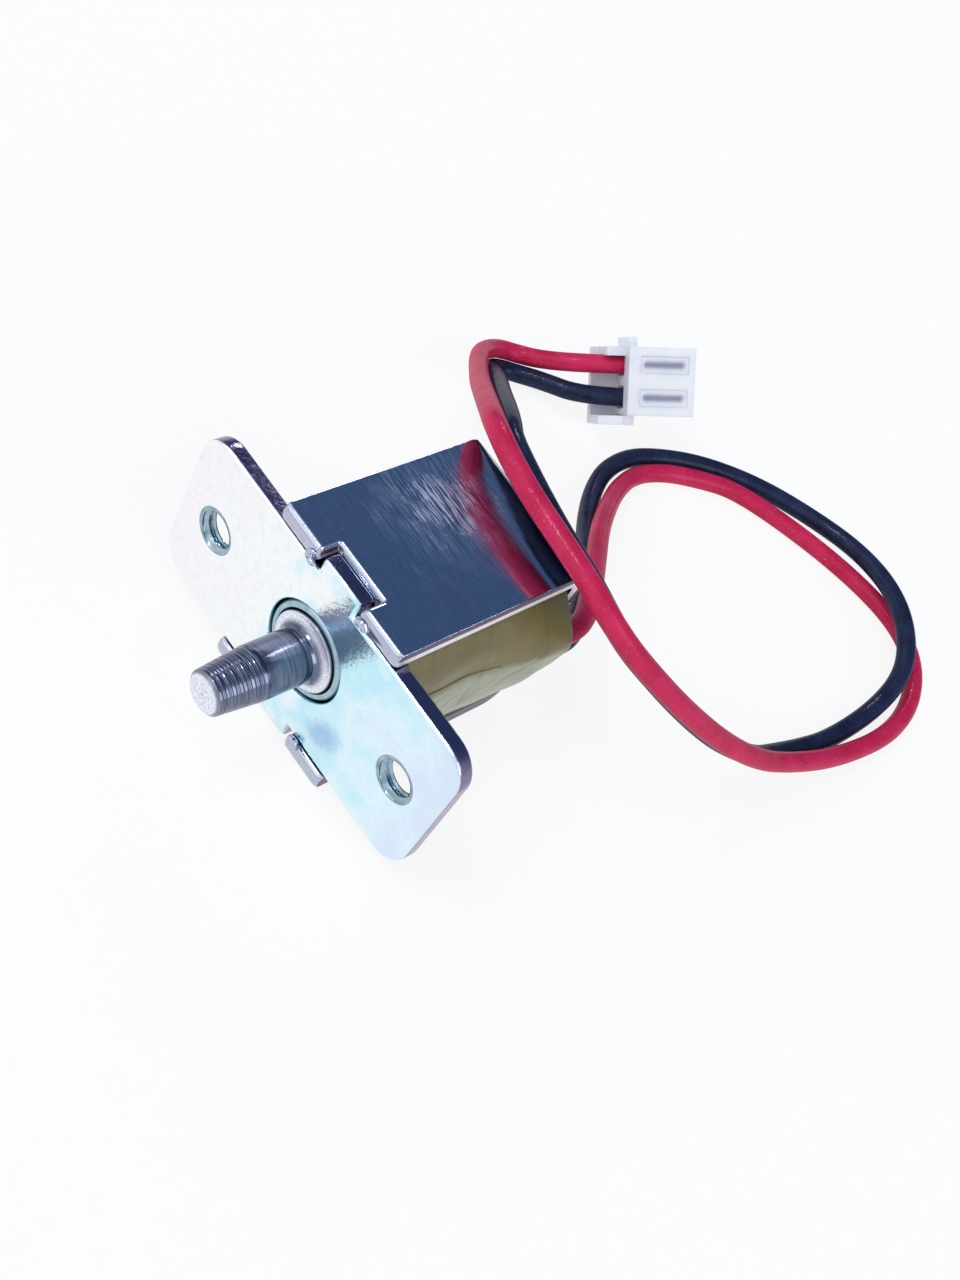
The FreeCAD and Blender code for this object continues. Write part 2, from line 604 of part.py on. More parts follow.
def make_plunger():
    """Turned plunger: pin, boss, body with a spring pocket, and a tail rod with a ring groove."""
    body = new_body("Plunger")
    pin, tip, tail = "pin_dia / 2", "pin_tip_dia / 2", "tail_dia / 2"
    floor = f"({PLUNGER_BACK} - pocket_plunger)"
    groove_back = f"({GROOVE_FRONT} + groove_width)"
    end = "(yoke_depth + tail_beyond)"
    turn(body, [
        ("-pin_length", "0"), ("-pin_length", f"{tip} - pin_chamfer"),
        ("-pin_length + pin_chamfer", tip), ("-pin_straight", pin),
        ("-boss_length", pin), ("-boss_length", "boss_dia / 2 - boss_fillet"),
        ("0", "boss_dia / 2"), ("0", "plunger_dia / 2"), (PLUNGER_BACK, "plunger_dia / 2"),
        (PLUNGER_BACK, "spring_pocket / 2"), (floor, "spring_pocket / 2"), (floor, tail),
        (GROOVE_FRONT, tail), (GROOVE_FRONT, f"{GROOVE_DIA} / 2"),
        (groove_back, f"{GROOVE_DIA} / 2"), (groove_back, tail),
        (f"{end} - tail_chamfer", tail), (end, f"{tail} - tail_chamfer"), (end, "0"),
    ])
    return keep(body, "plunger")


def make_retaining_ring():
    """Open ring clipped into the tail rod's groove."""
    front = f"({GROOVE_FRONT} + (groove_width - ring_thick) / 2)"
    back = f"({front} + ring_thick)"
    inner = f"({GROOVE_DIA} / 2 + ring_fit)"
    outer_disc = rod("ring_outer / 2", front, back)
    inner_disc = rod(inner, f"{front} - 1", f"{back} + 1")
    mouth = box("-ring_mouth / 2", "ring_mouth / 2", f"{front} - 1", f"{back} + 1", "-ring_outer", "0")
    return keep(cut(cut(outer_disc, inner_disc), mouth), "retaining_ring")


def make_return_spring():
    """Compression spring between the plunger's pocket and the core's."""
    length = f"({SPRING_BACK} - {SPRING_FRONT} - spring_wire)"
    radius = "(spring_outer - spring_wire) / 2"
    helix = doc.addObject("Part::Helix", "SpringLine")
    helix.SegmentLength = 0.5
    helix.Placement.Rotation = FreeCAD.Rotation(Vector(1, 0, 0), -90)
    bind(helix, Pitch=f"{length} / spring_turns", Height=length, Radius=radius)
    place(helix, "0", f"{SPRING_FRONT} + spring_wire / 2", "0")
    section = doc.addObject("Part::Circle", "SpringWire")
    bind(section, Radius="spring_wire / 2")
    place(section, radius, f"{SPRING_FRONT} + spring_wire / 2", "0")
    doc.recompute()
    spring = doc.addObject("Part::Sweep", "Spring")
    spring.Sections = [section]
    spring.Spine = (helix, [f"Edge{n + 1}" for n in range(len(helix.Shape.Edges))])
    spring.Solid = True
    spring.Frenet = True
    return keep(spring, "return_spring")


def make_splice(label, height):
    """Insulated joint between a coil wire and a lead."""
    return keep(rod("splice_dia / 2", SPLICE_FRONT, SPLICE_BACK, "lead_out", height), label)


def make_wire_tail(label, height):
    """End of the coil wire, laid along the winding's side into its splice."""
    x = "(lead_out - splice_dia / 2 + wire_dia * 0.6)"
    return keep(rod("wire_dia / 2", f"{SPLICE_FRONT} - wire_length", SPLICE_FRONT, x, height), label)


def route_path(route):
    """Straight runs joined by tangent arcs, 0.45 of the shorter run along each."""
    points = [Vector(*point) for point in route]
    edges, radii = [], []
    start = points[0]
    for before, corner, after in zip(points, points[1:], points[2:]):
        inward = (corner - before).normalize()
        outward = (after - corner).normalize()
        reach = 0.45 * min((corner - before).Length, (after - corner).Length)
        half_turn = inward.getAngle(outward) / 2
        radii.append(reach / math.tan(half_turn))
        arc_start, arc_end = corner - inward * reach, corner + outward * reach
        bisector = (outward - inward).normalize()
        middle = corner + bisector * radii[-1] * (1 / math.cos(half_turn) - 1)
        edges.append(Part.LineSegment(start, arc_start).toShape())
        edges.append(Part.Arc(arc_start, middle, arc_end).toShape())
        start = arc_end
    edges.append(Part.LineSegment(start, points[-1]).toShape())
    return Part.Wire(edges), radii


def make_lead(label, height, middle, side):
    """One insulated lead: out of its splice, along its route and into its contact."""
    out, straight = number("lead_out"), number(f"{SPLICE_BACK} + lead_straight")
    start = [(out, number(SPLICE_BACK), number(height)), (out, straight, number(height))]
    end = [PLUG_PLACE.multVec(Vector(x, number(side), 0)) for x in (-3.0, number("contact_start"))]
    route = start + middle + [tuple(point) for point in end]
    path, radii = route_path(route)
    radius = number("lead_dia / 2")
    direction = Vector(*route[1]) - Vector(*route[0])
    ring = Part.Wire([Part.Circle(Vector(*route[0]), direction, radius).toShape()])
    tube = path.makePipeShell([ring], True, False)
    share = tube.Volume / (math.pi * radius ** 2 * path.Length)
    print(f"{label}: {path.Length:.1f} mm long, volume {share:.4f} of section times length, radii",
          " ".join(f"{value:.1f}" for value in radii))
    print("    last points", [tuple(round(value, 3) for value in point) for point in route[-2:]])
    if abs(share - 1) > 0.01:
        raise RuntimeError(f"{label}: the tube's volume is wrong")
    lead = doc.addObject("Part::Feature", "Lead")
    lead.Shape = tube
    return keep(lead, label)


PLUG_PLACE = FreeCAD.Placement(
    Vector(number("plug_x"), number("plug_y"), number("plug_z")),
    FreeCAD.Rotation(number("plug_heading"), -number("plug_rise"), number("plug_roll")),
)


def make_connector_housing():
    """Moulded two-way plug, drawn with X towards its mating end and Y across the contacts."""
    half_width, half_thick = "(plug_body_width / 2)", "(plug_thick / 2)"
    collar, cradle = "(plug_collar_width / 2)", "(cradle_length)"
    shell = fuse(
        box("0", "plug_length", f"-{half_width}", half_width, f"-{half_thick}", half_thick),
        box("plug_collar_start", "plug_collar_start + plug_collar_length", f"-{collar}", collar,
            f"-{half_thick} + cradle_floor", f"{half_thick} - cradle_floor"),
        box(f"-{cradle}", "0", f"-{collar}", half_width, f"-{half_thick}", f"-{half_thick} + cradle_floor"),
        box(f"-{cradle}", "plug_collar_start", f"-{collar}", f"-{collar} + cradle_wall",
            f"-{half_thick}", f"-{half_thick} + cradle_height"),
        box("-cradle_short", "0", f"{half_width} - cradle_wall", half_width,
            f"-{half_thick}", f"-{half_thick} + cradle_height"),
    )
    for side in ("plug_pitch / 2", "-plug_pitch / 2"):
        chamber = box("-1", "plug_length + 1", f"{side} - plug_cavity / 2", f"{side} + plug_cavity / 2",
                      "-plug_cavity / 2", "plug_cavity / 2")
        latch = box("plug_window_start", "plug_window_start + plug_window_length",
                    f"{side} - plug_window_width / 2", f"{side} + plug_window_width / 2",
                    "0", "plug_thick")
        shell = cut(cut(shell, chamber), latch)
    shell.Placement = PLUG_PLACE
    return keep(shell, "connector_housing")


def make_contact(label, side):
    """Crimped socket contact: a closed end that grips the lead, and an open box."""
    start, back = "contact_start", "contact_start + contact_length"
    half = "(contact_width / 2)"
    outer = box(start, back, f"{side} - {half}", f"{side} + {half}", f"-{half}", half)
    inner = box(f"{start} + 2 * contact_sheet", f"{back} + 1", f"{side} - {half} + contact_sheet",
                f"{side} + {half} - contact_sheet", f"-{half} + contact_sheet", f"{half} - contact_sheet")
    contact = cut(outer, inner)
    contact.Placement = PLUG_PLACE
    return keep(contact, label)


make_yoke_frame()
make_flange_plate()
make_bobbin()
make_guide_sleeve()
make_fixed_core()
make_coil_winding()
make_insulation_pad()
make_wire_tail("coil_start_tail", "red_height")
make_wire_tail("coil_finish_tail", "black_height")
make_splice("splice_red", "red_height")
make_splice("splice_black", "black_height")
make_tape_wrap()
make_tape_end()
make_buffer_washer()
make_plunger()
make_retaining_ring()
make_return_spring()
make_connector_housing()
make_contact("contact_red", "plug_pitch / 2")
make_contact("contact_black", "-plug_pitch / 2")
make_lead("lead_red", "red_height", RED_ROUTE, "plug_pitch / 2")
make_lead("lead_black", "black_height", BLACK_ROUTE, "-plug_pitch / 2")

doc.recompute()
for item in doc.Objects:
    if "Invalid" in item.State or "Error" in item.State:
        raise RuntimeError(f"{item.Name} has a fault: {item.State}")
for piece in PIECES:
    if piece.Shape.isNull() or not piece.Shape.isValid() or len(piece.Shape.Solids) != 1:
        raise RuntimeError(f"{piece.Label} is not one sound solid")

os.makedirs("parts", exist_ok=True)
for piece in PIECES:
    piece.Shape.exportStep(f"parts/{piece.Label}.step")
    box_of = piece.Shape.BoundBox
    print(f"{piece.Label:18} {piece.Shape.Volume:9.3f} mm3",
          f"x {box_of.XMin:.2f} {box_of.XMax:.2f} y {box_of.YMin:.2f} {box_of.YMax:.2f}",
          f"z {box_of.ZMin:.2f} {box_of.ZMax:.2f}")
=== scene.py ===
"""Small push-pull electromagnet: yoke, flange plate, sprung plunger, taped coil, two leads and a plug."""

import bmesh
import bpy
import numpy as np
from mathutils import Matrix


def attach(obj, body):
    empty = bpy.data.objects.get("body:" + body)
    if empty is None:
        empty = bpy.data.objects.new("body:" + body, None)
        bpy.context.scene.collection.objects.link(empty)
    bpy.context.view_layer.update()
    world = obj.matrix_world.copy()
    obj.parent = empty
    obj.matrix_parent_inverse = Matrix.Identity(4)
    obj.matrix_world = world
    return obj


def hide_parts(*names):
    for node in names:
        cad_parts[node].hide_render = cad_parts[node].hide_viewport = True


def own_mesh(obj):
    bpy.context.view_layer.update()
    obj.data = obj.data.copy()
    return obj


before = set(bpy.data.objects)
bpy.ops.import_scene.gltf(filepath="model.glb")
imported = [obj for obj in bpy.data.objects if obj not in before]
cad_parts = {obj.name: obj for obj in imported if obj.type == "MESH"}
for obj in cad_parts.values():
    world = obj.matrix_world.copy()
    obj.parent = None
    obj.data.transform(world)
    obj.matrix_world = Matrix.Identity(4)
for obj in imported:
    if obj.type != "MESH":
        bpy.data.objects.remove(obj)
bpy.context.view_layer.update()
MM = 0.001


# The photographer's place: a phone held in front of the pin, right of the axis and above, looking down at
# the electromagnet where it lies on its lower arm. Found from the plate's and the yoke's straight edges.
camera_data = bpy.data.cameras.new("camera")
camera_data.lens = 42.02
camera_data.clip_start = 0.005
camera_data.clip_end = 10.0
camera = bpy.data.objects.new("camera", camera_data)
camera.location = (0.027303, -0.045938, 0.067053)
camera.rotation_mode = "QUATERNION"
camera.rotation_quaternion = (0.81370, 0.36099, -0.04318, 0.45355)
bpy.context.scene.collection.objects.link(camera)
bpy.context.scene.camera = camera


# Yoke frame: 1.2 mm mild steel strip, blanked, bent into a U and plated with bright nickel. Its arms are
# notched at the front, and the metal beside each notch is staked over the plate to hold it.
YOKE_HALF_WIDTH, YOKE_HALF_HEIGHT, YOKE_FRONT, YOKE_BACK = 5.5, 7.25, -0.2, 15.4
SHEET, BEND_OUTER = 1.2, 1.5
NOTCH_HALF_WIDTH, NOTCH_DEPTH = 2.0, 1.43
ARM_CORNER, CORNER_PULL, NOTCH_LIP, LIP_PULL, PULL_REACH = 0.5, 0.30, 0.35, 0.22, 1.2
END_ROLL, NOTCH_ROLL, SIDE_ROLL = 0.42, 0.34, 0.14
SCRATCH_MIDDLE, SCRATCH_REACH, SCRATCH_RAGGED = (-1.9, 9.4, YOKE_HALF_HEIGHT), 12.0, 7.0
SCRATCH_TURNS = ((0.25, 0.0), (-0.75, 7.0), (1.25, 15.0), (-0.2, 31.0), (-1.2, 43.0), (0.8, 57.0))


def linear(hex_colour):
    """An sRGB hex colour as linear RGBA: c / 12.92 up to 0.04045, else ((c + 0.055) / 1.055) ** 2.4."""
    parts = [int(hex_colour[n:n + 2], 16) / 255 for n in (1, 3, 5)]
    return [c / 12.92 if c <= 0.04045 else ((c + 0.055) / 1.055) ** 2.4 for c in parts] + [1.0]


def node(tree, kind, inputs=None, out=0, stops=(), **settings):
    """Adds one node with its settings and links, and returns its output socket.

    Settings are the node's properties. Inputs are its sockets' values, hex colours, or sockets to link.
    Stops are the (position, hex colour or grey) pairs of a colour ramp.
    """
    item = tree.nodes.new("ShaderNode" + kind)
    for key, value in settings.items():
        setattr(item, key, value)
    for key, value in (inputs or {}).items():
        if isinstance(value, bpy.types.NodeSocket):
            tree.links.new(value, item.inputs[key])
        else:
            item.inputs[key].default_value = linear(value) if isinstance(value, str) else value
    for number, (position, colour) in enumerate(stops):
        elements = item.color_ramp.elements
        element = elements[number] if number < len(elements) else elements.new(position)
        element.position = position
        element.color = linear(colour) if isinstance(colour, str) else (colour, colour, colour, 1.0)
    return item.outputs[out] if item.outputs else item


def new_material(name, scale=(1000, 1000, 1000)):
    """A material with an empty node tree, the tree, and the places on the object in mm for its patterns.

    A scale other than 1000 draws a pattern out or squeezes it along X, Y and Z.
    """
    material = bpy.data.materials.new(name)
    material.use_nodes = True
    tree = material.node_tree
    tree.nodes.clear()
    place = node(tree, "TexCoord", out="Object")
    return material, tree, node(tree, "Mapping", {"Vector": place, "Scale": scale})


def facing(tree, axis, low, high, low_share, high_share):
    """How far a face looks along an axis: a ramp over the size of its normal's part 0, 1 or 2."""
    part = node(tree, "SeparateXYZ", {0: node(tree, "TexCoord", out="Normal")}, axis)
    size = node(tree, "Math", {0: part}, operation="ABSOLUTE")
    return node(tree, "ValToRGB", {"Fac": size}, stops=((low, low_share), (high, high_share)))


def grid_faces(rows, columns, closed_rows=False, closed_columns=False):
    """Quads of a grid whose point (i, j) is number i * columns + j; a closed side joins its last to first."""
    i = np.arange(rows if closed_rows else rows - 1)[:, None]
    j = np.arange(columns if closed_columns else columns - 1)[None, :]
    down, across = (i + 1) % rows, (j + 1) % columns
    quads = [i * columns + j, i * columns + across, down * columns + across, down * columns + j]
    return np.stack(np.broadcast_arrays(*quads), axis=-1).reshape(-1, 4)


def face_out(mesh):
    """Merges a mesh's doubles and turns its faces outwards."""
    work = bmesh.new()
    work.from_mesh(mesh)
    bmesh.ops.remove_doubles(work, verts=work.verts, dist=1e-7)
    bmesh.ops.delete(work, geom=[point for point in work.verts if not point.link_faces], context="VERTS")
    bmesh.ops.recalc_face_normals(work, faces=work.faces)
    work.to_mesh(mesh)
    work.free()


def finished_mesh(name, shape, material, body, slot, *replaced, thin=None):
    """A piece from its shape, which is points in mm and faces.

    It rides on its body and stands for the CAD nodes that it replaces. Thin is a number for each point, kept
    as the attribute "thin".
    """
    points, faces = shape
    mesh = bpy.data.meshes.new(name)
    mesh.from_pydata((points.reshape(-1, 3) * MM).tolist(), [], [list(face) for face in faces])
    mesh.polygons.foreach_set("use_smooth", [True] * len(mesh.polygons))
    mesh.materials.append(material)
    if thin is not None:
        mesh.attributes.new("thin", "FLOAT", "POINT").data.foreach_set("value", thin.ravel())
    piece = bpy.data.objects.new(name, mesh)
    bpy.context.scene.collection.objects.link(piece)
    if replaced:
        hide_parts(*replaced)
    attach(piece, body)
    face_out(mesh)
    return piece


def bright_nickel(name, torn_share):
    """Bright nickel on rolled strip: a blue-grey mirror with a cluster of fine handling scratches.

    The blanked edges, whose normals lie along X, are burnished over their outer 0.55 mm, painted dark purple
    there as a painted reflection of the dusky room, and torn and matt below it, white on the upper arm and
    painted grey as shade on the lower arm. The scratches are drawn three times as wide as the real 0.03 mm,
    so that they show.
    """
    material, tree, point = new_material(name)
    edge = facing(tree, 0, 0.75, 0.9, 0.0, torn_share)
    patches = node(tree, "TexNoise", {"Vector": point, "Scale": 0.22, "Detail": 3.0})
    sheen = node(tree, "ValToRGB", {"Fac": patches}, stops=((0.35, "#B4BCCE"), (0.65, "#B9B8CC")))

    bend = node(tree, "TexNoise", {"Vector": point, "Scale": 0.6}, 1)
    warped = node(tree, "VectorMath", {0: bend, 1: (0.35, 0.35, 0.0), 2: point}, operation="MULTIPLY_ADD")
    lines = 0.0
    for angle, seed in SCRATCH_TURNS:
        hair = node(tree, "Mapping", {"Vector": warped, "Location": (seed, seed, 0),
                                      "Rotation": (0, 0, angle), "Scale": (0.50, 11.0, 1.0)})
        dash = node(tree, "TexNoise", {"Vector": hair, "Scale": 1.0, "Detail": 0.0})
        dash = node(tree, "ValToRGB", {"Fac": dash}, stops=((0.62, 0.0), (0.69, 1.0)))
        lines = node(tree, "Math", {0: dash, 1: lines}, operation="MAXIMUM")
    from_middle = node(tree, "VectorMath", {0: point, 1: SCRATCH_MIDDLE}, operation="SUBTRACT")
    distance = node(tree, "VectorMath", {0: from_middle}, "Value", operation="LENGTH")
    ragged = node(tree, "TexNoise", {"Vector": point, "Scale": 0.8, "Detail": 4.0})
    reach = node(tree, "Math", {0: ragged, 1: SCRATCH_RAGGED, 2: distance}, operation="MULTIPLY_ADD")
    share = node(tree, "Math", {0: reach, 1: SCRATCH_REACH}, operation="DIVIDE")
    cluster = node(tree, "ValToRGB", {"Fac": share}, stops=((0.32, 1.0), (0.52, 0.45), (0.80, 0.10)))
    scratches = node(tree, "Math", {0: lines, 1: cluster}, operation="MULTIPLY")
    fine = node(tree, "TexNoise", {"Vector": point, "Scale": 6.0, "Detail": 1.0})
    specks = node(tree, "ValToRGB", {"Fac": fine}, stops=((0.70, 0.0), (0.76, 0.35)))
    marks = node(tree, "Math", {0: scratches, 1: specks}, operation="MAXIMUM")

    colour = node(tree, "Mix", {0: marks, 6: sheen, 7: "#F4F6FF"}, 2, data_type="RGBA")
    along = node(tree, "SeparateXYZ", {0: point}, 1)
    level = node(tree, "SeparateXYZ", {0: point}, 2)
    height = node(tree, "Math", {0: level}, operation="ABSOLUTE")
    from_arm = node(tree, "Math", {0: YOKE_HALF_HEIGHT, 1: height}, operation="SUBTRACT")
    from_wall = node(tree, "Math", {0: YOKE_BACK, 1: along}, operation="SUBTRACT")
    under = node(tree, "Math", {0: from_arm, 1: from_wall}, operation="MINIMUM")
    # The burnished band is real; its dark purple (#75667C) is a painted reflection of the dusky room.
    burnished = node(tree, "ValToRGB", {"Fac": under}, stops=((0.48, 1.0), (0.60, 0.0)))
    # Painted shade: the torn band turns grey below the middle height, on the lower arm, and stays white on
    # the upper arm.
    side = node(tree, "Math", {0: level, 1: 0.05, 2: 0.5}, operation="MULTIPLY_ADD")
    torn_with_painted_shade = node(tree, "ValToRGB", {"Fac": side}, stops=((0.44, "#7E7880"), (0.52, "#FAF9FD")))
    cut = node(tree, "Mix", {0: burnished, 6: torn_with_painted_shade, 7: "#75667C"}, 2, data_type="RGBA")
    colour = node(tree, "Mix", {0: edge, 6: colour, 7: cut}, 2, data_type="RGBA")
    rough = node(tree, "Math", {0: patches, 1: 0.10, 2: 0.045}, operation="MULTIPLY_ADD")
    rough = node(tree, "Math", {0: marks, 1: 0.32, 2: rough}, operation="MULTIPLY_ADD")
    rough = node(tree, "Math", {0: edge, 1: 0.38, 2: rough}, operation="MULTIPLY_ADD")
    long_waves = node(tree, "TexNoise", {"Vector": point, "Scale": 0.35, "Detail": 1.0})
    wavy = node(tree, "Bump", {"Height": long_waves, "Distance": 0.02 * MM})
    scored = node(tree, "Bump", {"Height": marks, "Distance": 0.0035 * MM, "Normal": wavy})
    grain = node(tree, "Mapping", {"Vector": point, "Rotation": (0.7, 0, 0), "Scale": (1.0, 6.0, 0.6)})
    torn = node(tree, "TexNoise", {"Vector": grain, "Scale": 2.2, "Detail": 4.0})
    ripple = node(tree, "Math", {0: torn, 1: edge}, operation="MULTIPLY")
    bump = node(tree, "Bump", {"Height": ripple, "Distance": 0.12 * MM, "Normal": scored})
    shader = node(tree, "BsdfPrincipled", {"Base Color": colour, "Metallic": 1.0, "Roughness": rough,
                                           "Normal": bump})
    node(tree, "OutputMaterial", {"Surface": shader})
    return material


def rolled(distance, reach, power):
    """How much of its half thickness a sheet keeps at a distance from a cut edge: a quarter superellipse,
    (1 - (1 - distance / reach) ^ power) ^ (1 / power)."""
    near = np.clip(distance / reach, 0, 1)
    return (1 - (1 - near) ** power) ** (1 / power)


def spaced(*stretches):
    """Positions from (end, count) stretches, each run through in count even steps from the last end."""
    places = [np.array([stretches[0]])]
    for end, count in stretches[1:]:
        places.append(np.linspace(places[-1][-1], end, count + 1)[1:])
    return np.concatenate(places)


def bent_strip():
    """The U of the yoke as a sheet: P = M(s) + e X x +/- h N(s), x being the place across the strip.

    M(s) is the middle line of the bent strip and N(s) its outward normal. The half thickness h is half the
    sheet times one rolled edge each for the sides, the ends and the notches. The ends' corners and the lips
    of the notches are drawn back along the strip by a quarter circle and a square. The faces in the notches
    are left out.
    """
    straight, wall = YOKE_BACK - BEND_OUTER - YOKE_FRONT, 2 * (YOKE_HALF_HEIGHT - BEND_OUTER)
    radius = BEND_OUTER - SHEET / 2
    quarter = radius * np.pi / 2
    total = 2 * straight + 2 * quarter + wall
    first = spaced(0.0, (0.08, 4), (0.5, 8), (NOTCH_DEPTH, 5), (1.51, 4), (1.95, 8), (straight, 40),
                   (straight + quarter, 10), (total / 2, 14))
    s = np.concatenate([first, total - first[-2::-1]])[:, None]
    half = spaced(0.0, (1.5, 5), (NOTCH_HALF_WIDTH, 6), (2.08, 4), (2.5, 7),
                  (YOKE_HALF_WIDTH - ARM_CORNER, 9), (5.35, 5), (YOKE_HALF_WIDTH, 6))
    x = np.concatenate([-half[:0:-1], half])[None, :]
    near_end = np.minimum(s, total - s)
    from_middle = np.abs(x)
    corner = np.clip((from_middle - YOKE_HALF_WIDTH + ARM_CORNER) / ARM_CORNER, 0, 1)
    lip = np.clip((NOTCH_HALF_WIDTH + NOTCH_LIP - from_middle) / NOTCH_LIP, 0, 1)
    lip = lip * (from_middle >= NOTCH_HALF_WIDTH)
    pull = CORNER_PULL * (1 - np.sqrt(1 - corner ** 2)) + LIP_PULL * lip ** 2
    shift = pull * np.clip(1 - near_end / PULL_REACH, 0, 1)
    along = np.where(s < total / 2, near_end + shift, total - near_end - shift)
    beside, behind = np.maximum(from_middle - NOTCH_HALF_WIDTH, 0), np.maximum(near_end - NOTCH_DEPTH, 0)
    from_notch = np.hypot(beside, behind)
    h = SHEET / 2 * rolled(near_end, END_ROLL, 2.0) * rolled(from_notch, NOTCH_ROLL, 2.2)
    h = h * rolled(YOKE_HALF_WIDTH - from_middle, SIDE_ROLL, 4.0)
    on_arc = np.clip(along - straight, 0, quarter) + np.clip(along - straight - quarter - wall, 0, quarter)
    turn = on_arc / radius
    down = np.clip(along - straight - quarter, 0, wall)
    back = np.clip(along - straight - 2 * quarter - wall, 0, straight)
    arm = np.clip(along, 0, straight)
    quarter_turn = np.pi / 2
    bend_y = radius * np.sin(np.clip(turn, 0, quarter_turn))
    bend_y = bend_y + radius * (np.sin(np.clip(turn, quarter_turn, np.pi)) - 1)
    bend_z = radius * (1 - np.cos(np.clip(turn, 0, np.pi)))
    y = YOKE_FRONT + arm + bend_y - back
    z = YOKE_HALF_HEIGHT - SHEET / 2 - down - bend_z
    outer = np.stack([x + 0 * y, y + h * np.sin(turn), z + h * np.cos(turn)], axis=-1)
    inner = np.stack([x + 0 * y, y - h * np.sin(turn), z - h * np.cos(turn)], axis=-1)
    rows, columns = outer.shape[:2]
    points = np.concatenate([outer, inner[:, ::-1]], axis=1)
    faces = grid_faces(rows, 2 * columns, closed_columns=True)
    centre_x = np.abs(points[..., 0].ravel()[faces].mean(axis=1))
    centre_s = np.broadcast_to(near_end, (rows, columns))
    centre_s = np.concatenate([centre_s, centre_s[:, ::-1]], axis=1).ravel()[faces].mean(axis=1)
    kept = (centre_x > NOTCH_HALF_WIDTH) | (centre_s > NOTCH_DEPTH)
    return points, faces[kept]


nickel = bright_nickel("bright nickel on steel strip", 1.0)
finished_mesh("yoke_strip", bent_strip(), nickel, "frame", "plated_strip", "yoke_frame")

STAKE_FRONT = -0.20
CURL_STEPS, CURL_SIDES = 41, 20


def stake_curl(name, middle, bend, thick, first, sweep, material):
    """A curl of metal that the staking punch pushed over the plate, in front of the yoke's arm.

    A bar bent along the arc C(t) = middle + bend (cos a, 0, sin a), with a from first through sweep degrees.
    Its radius is thick (1 - (2 t - 1) ^ 6) ^ 0.5 with two low waves along it, so both ends are round.
    """
    t = (1 - np.cos(np.linspace(0, np.pi, CURL_STEPS))) / 2
    a = np.radians(first + sweep * t)
    outward = np.stack([np.cos(a), 0 * a, np.sin(a)], axis=-1)
    centre = np.array([middle[0], STAKE_FRONT, middle[1]]) + bend * outward
    waves = 1 + 0.12 * np.sin(7 * t + first) + 0.08 * np.sin(17 * t)
    radius = thick * np.sqrt(1 - (2 * t - 1) ** 6) * waves
    b = np.linspace(0, 2 * np.pi, CURL_SIDES, endpoint=False)[None, :, None]
    forward = np.array([0.0, 1.0, 0.0])
    points = centre[:, None] + radius[:, None, None] * (np.cos(b) * outward[:, None] + np.sin(b) * forward)
    shape = points, grid_faces(CURL_STEPS, CURL_SIDES, closed_columns=True)
    finished_mesh(name, shape, material, "frame", "plated_strip")


staked_metal = bright_nickel("bright nickel on staked metal", 0.0)
for name, middle, bend, thick, first, sweep in (
    ("stake_curl_top_left", (-2.20, 6.45), 0.36, 0.21, 80.0, 245.0),
    ("stake_curl_top_right", (2.55, 6.15), 0.34, 0.29, 10.0, 170.0),
    ("stake_curl_bottom_left", (-2.70, -6.45), 0.26, 0.22, 120.0, 200.0),
    ("stake_curl_bottom_right", (2.60, -6.12), 0.32, 0.22, -40.0, 215.0),
):
    stake_curl(name, middle, bend, thick, first, sweep, staked_metal)


# Flange plate: 1.2 mm steel, blanked with a rolled front edge, two tapped M3 holes and the plunger's window,
# then zinc plated with a pale blue passivation. Its two tongues sit in the yoke's notches.
PLATE_HALF_LENGTH, PLATE_HALF_HEIGHT, PLATE_CORNER, PLATE_THICK, PLATE_ROLL = 12.5, 5.8, 2.1, 1.2, 0.27
TONGUE_HALF_WIDTH, TONGUE_REACH, TONGUE_CORNER = 1.7, 6.95, 0.15
WINDOW_RADIUS, WINDOW_WALL = 3.2, 3.6
SCREW_ACROSS, SCREW_RADIUS, SCREW_PITCH, SCREW_CREST = 9.2, 1.38, 0.5, 0.22
THREAD_START, THREAD_FADE, THREAD_INSET, THREAD_BACK = 0.03, 0.12, 0.015, 0.05
REFLECTED_SHADE_MIDDLE, REFLECTED_SHADE_TURN, REFLECTED_SHADE_REACH = (4.0, 0.0, -3.3), (0, -0.83, 0), (3.2, 1000.0, 1.9)


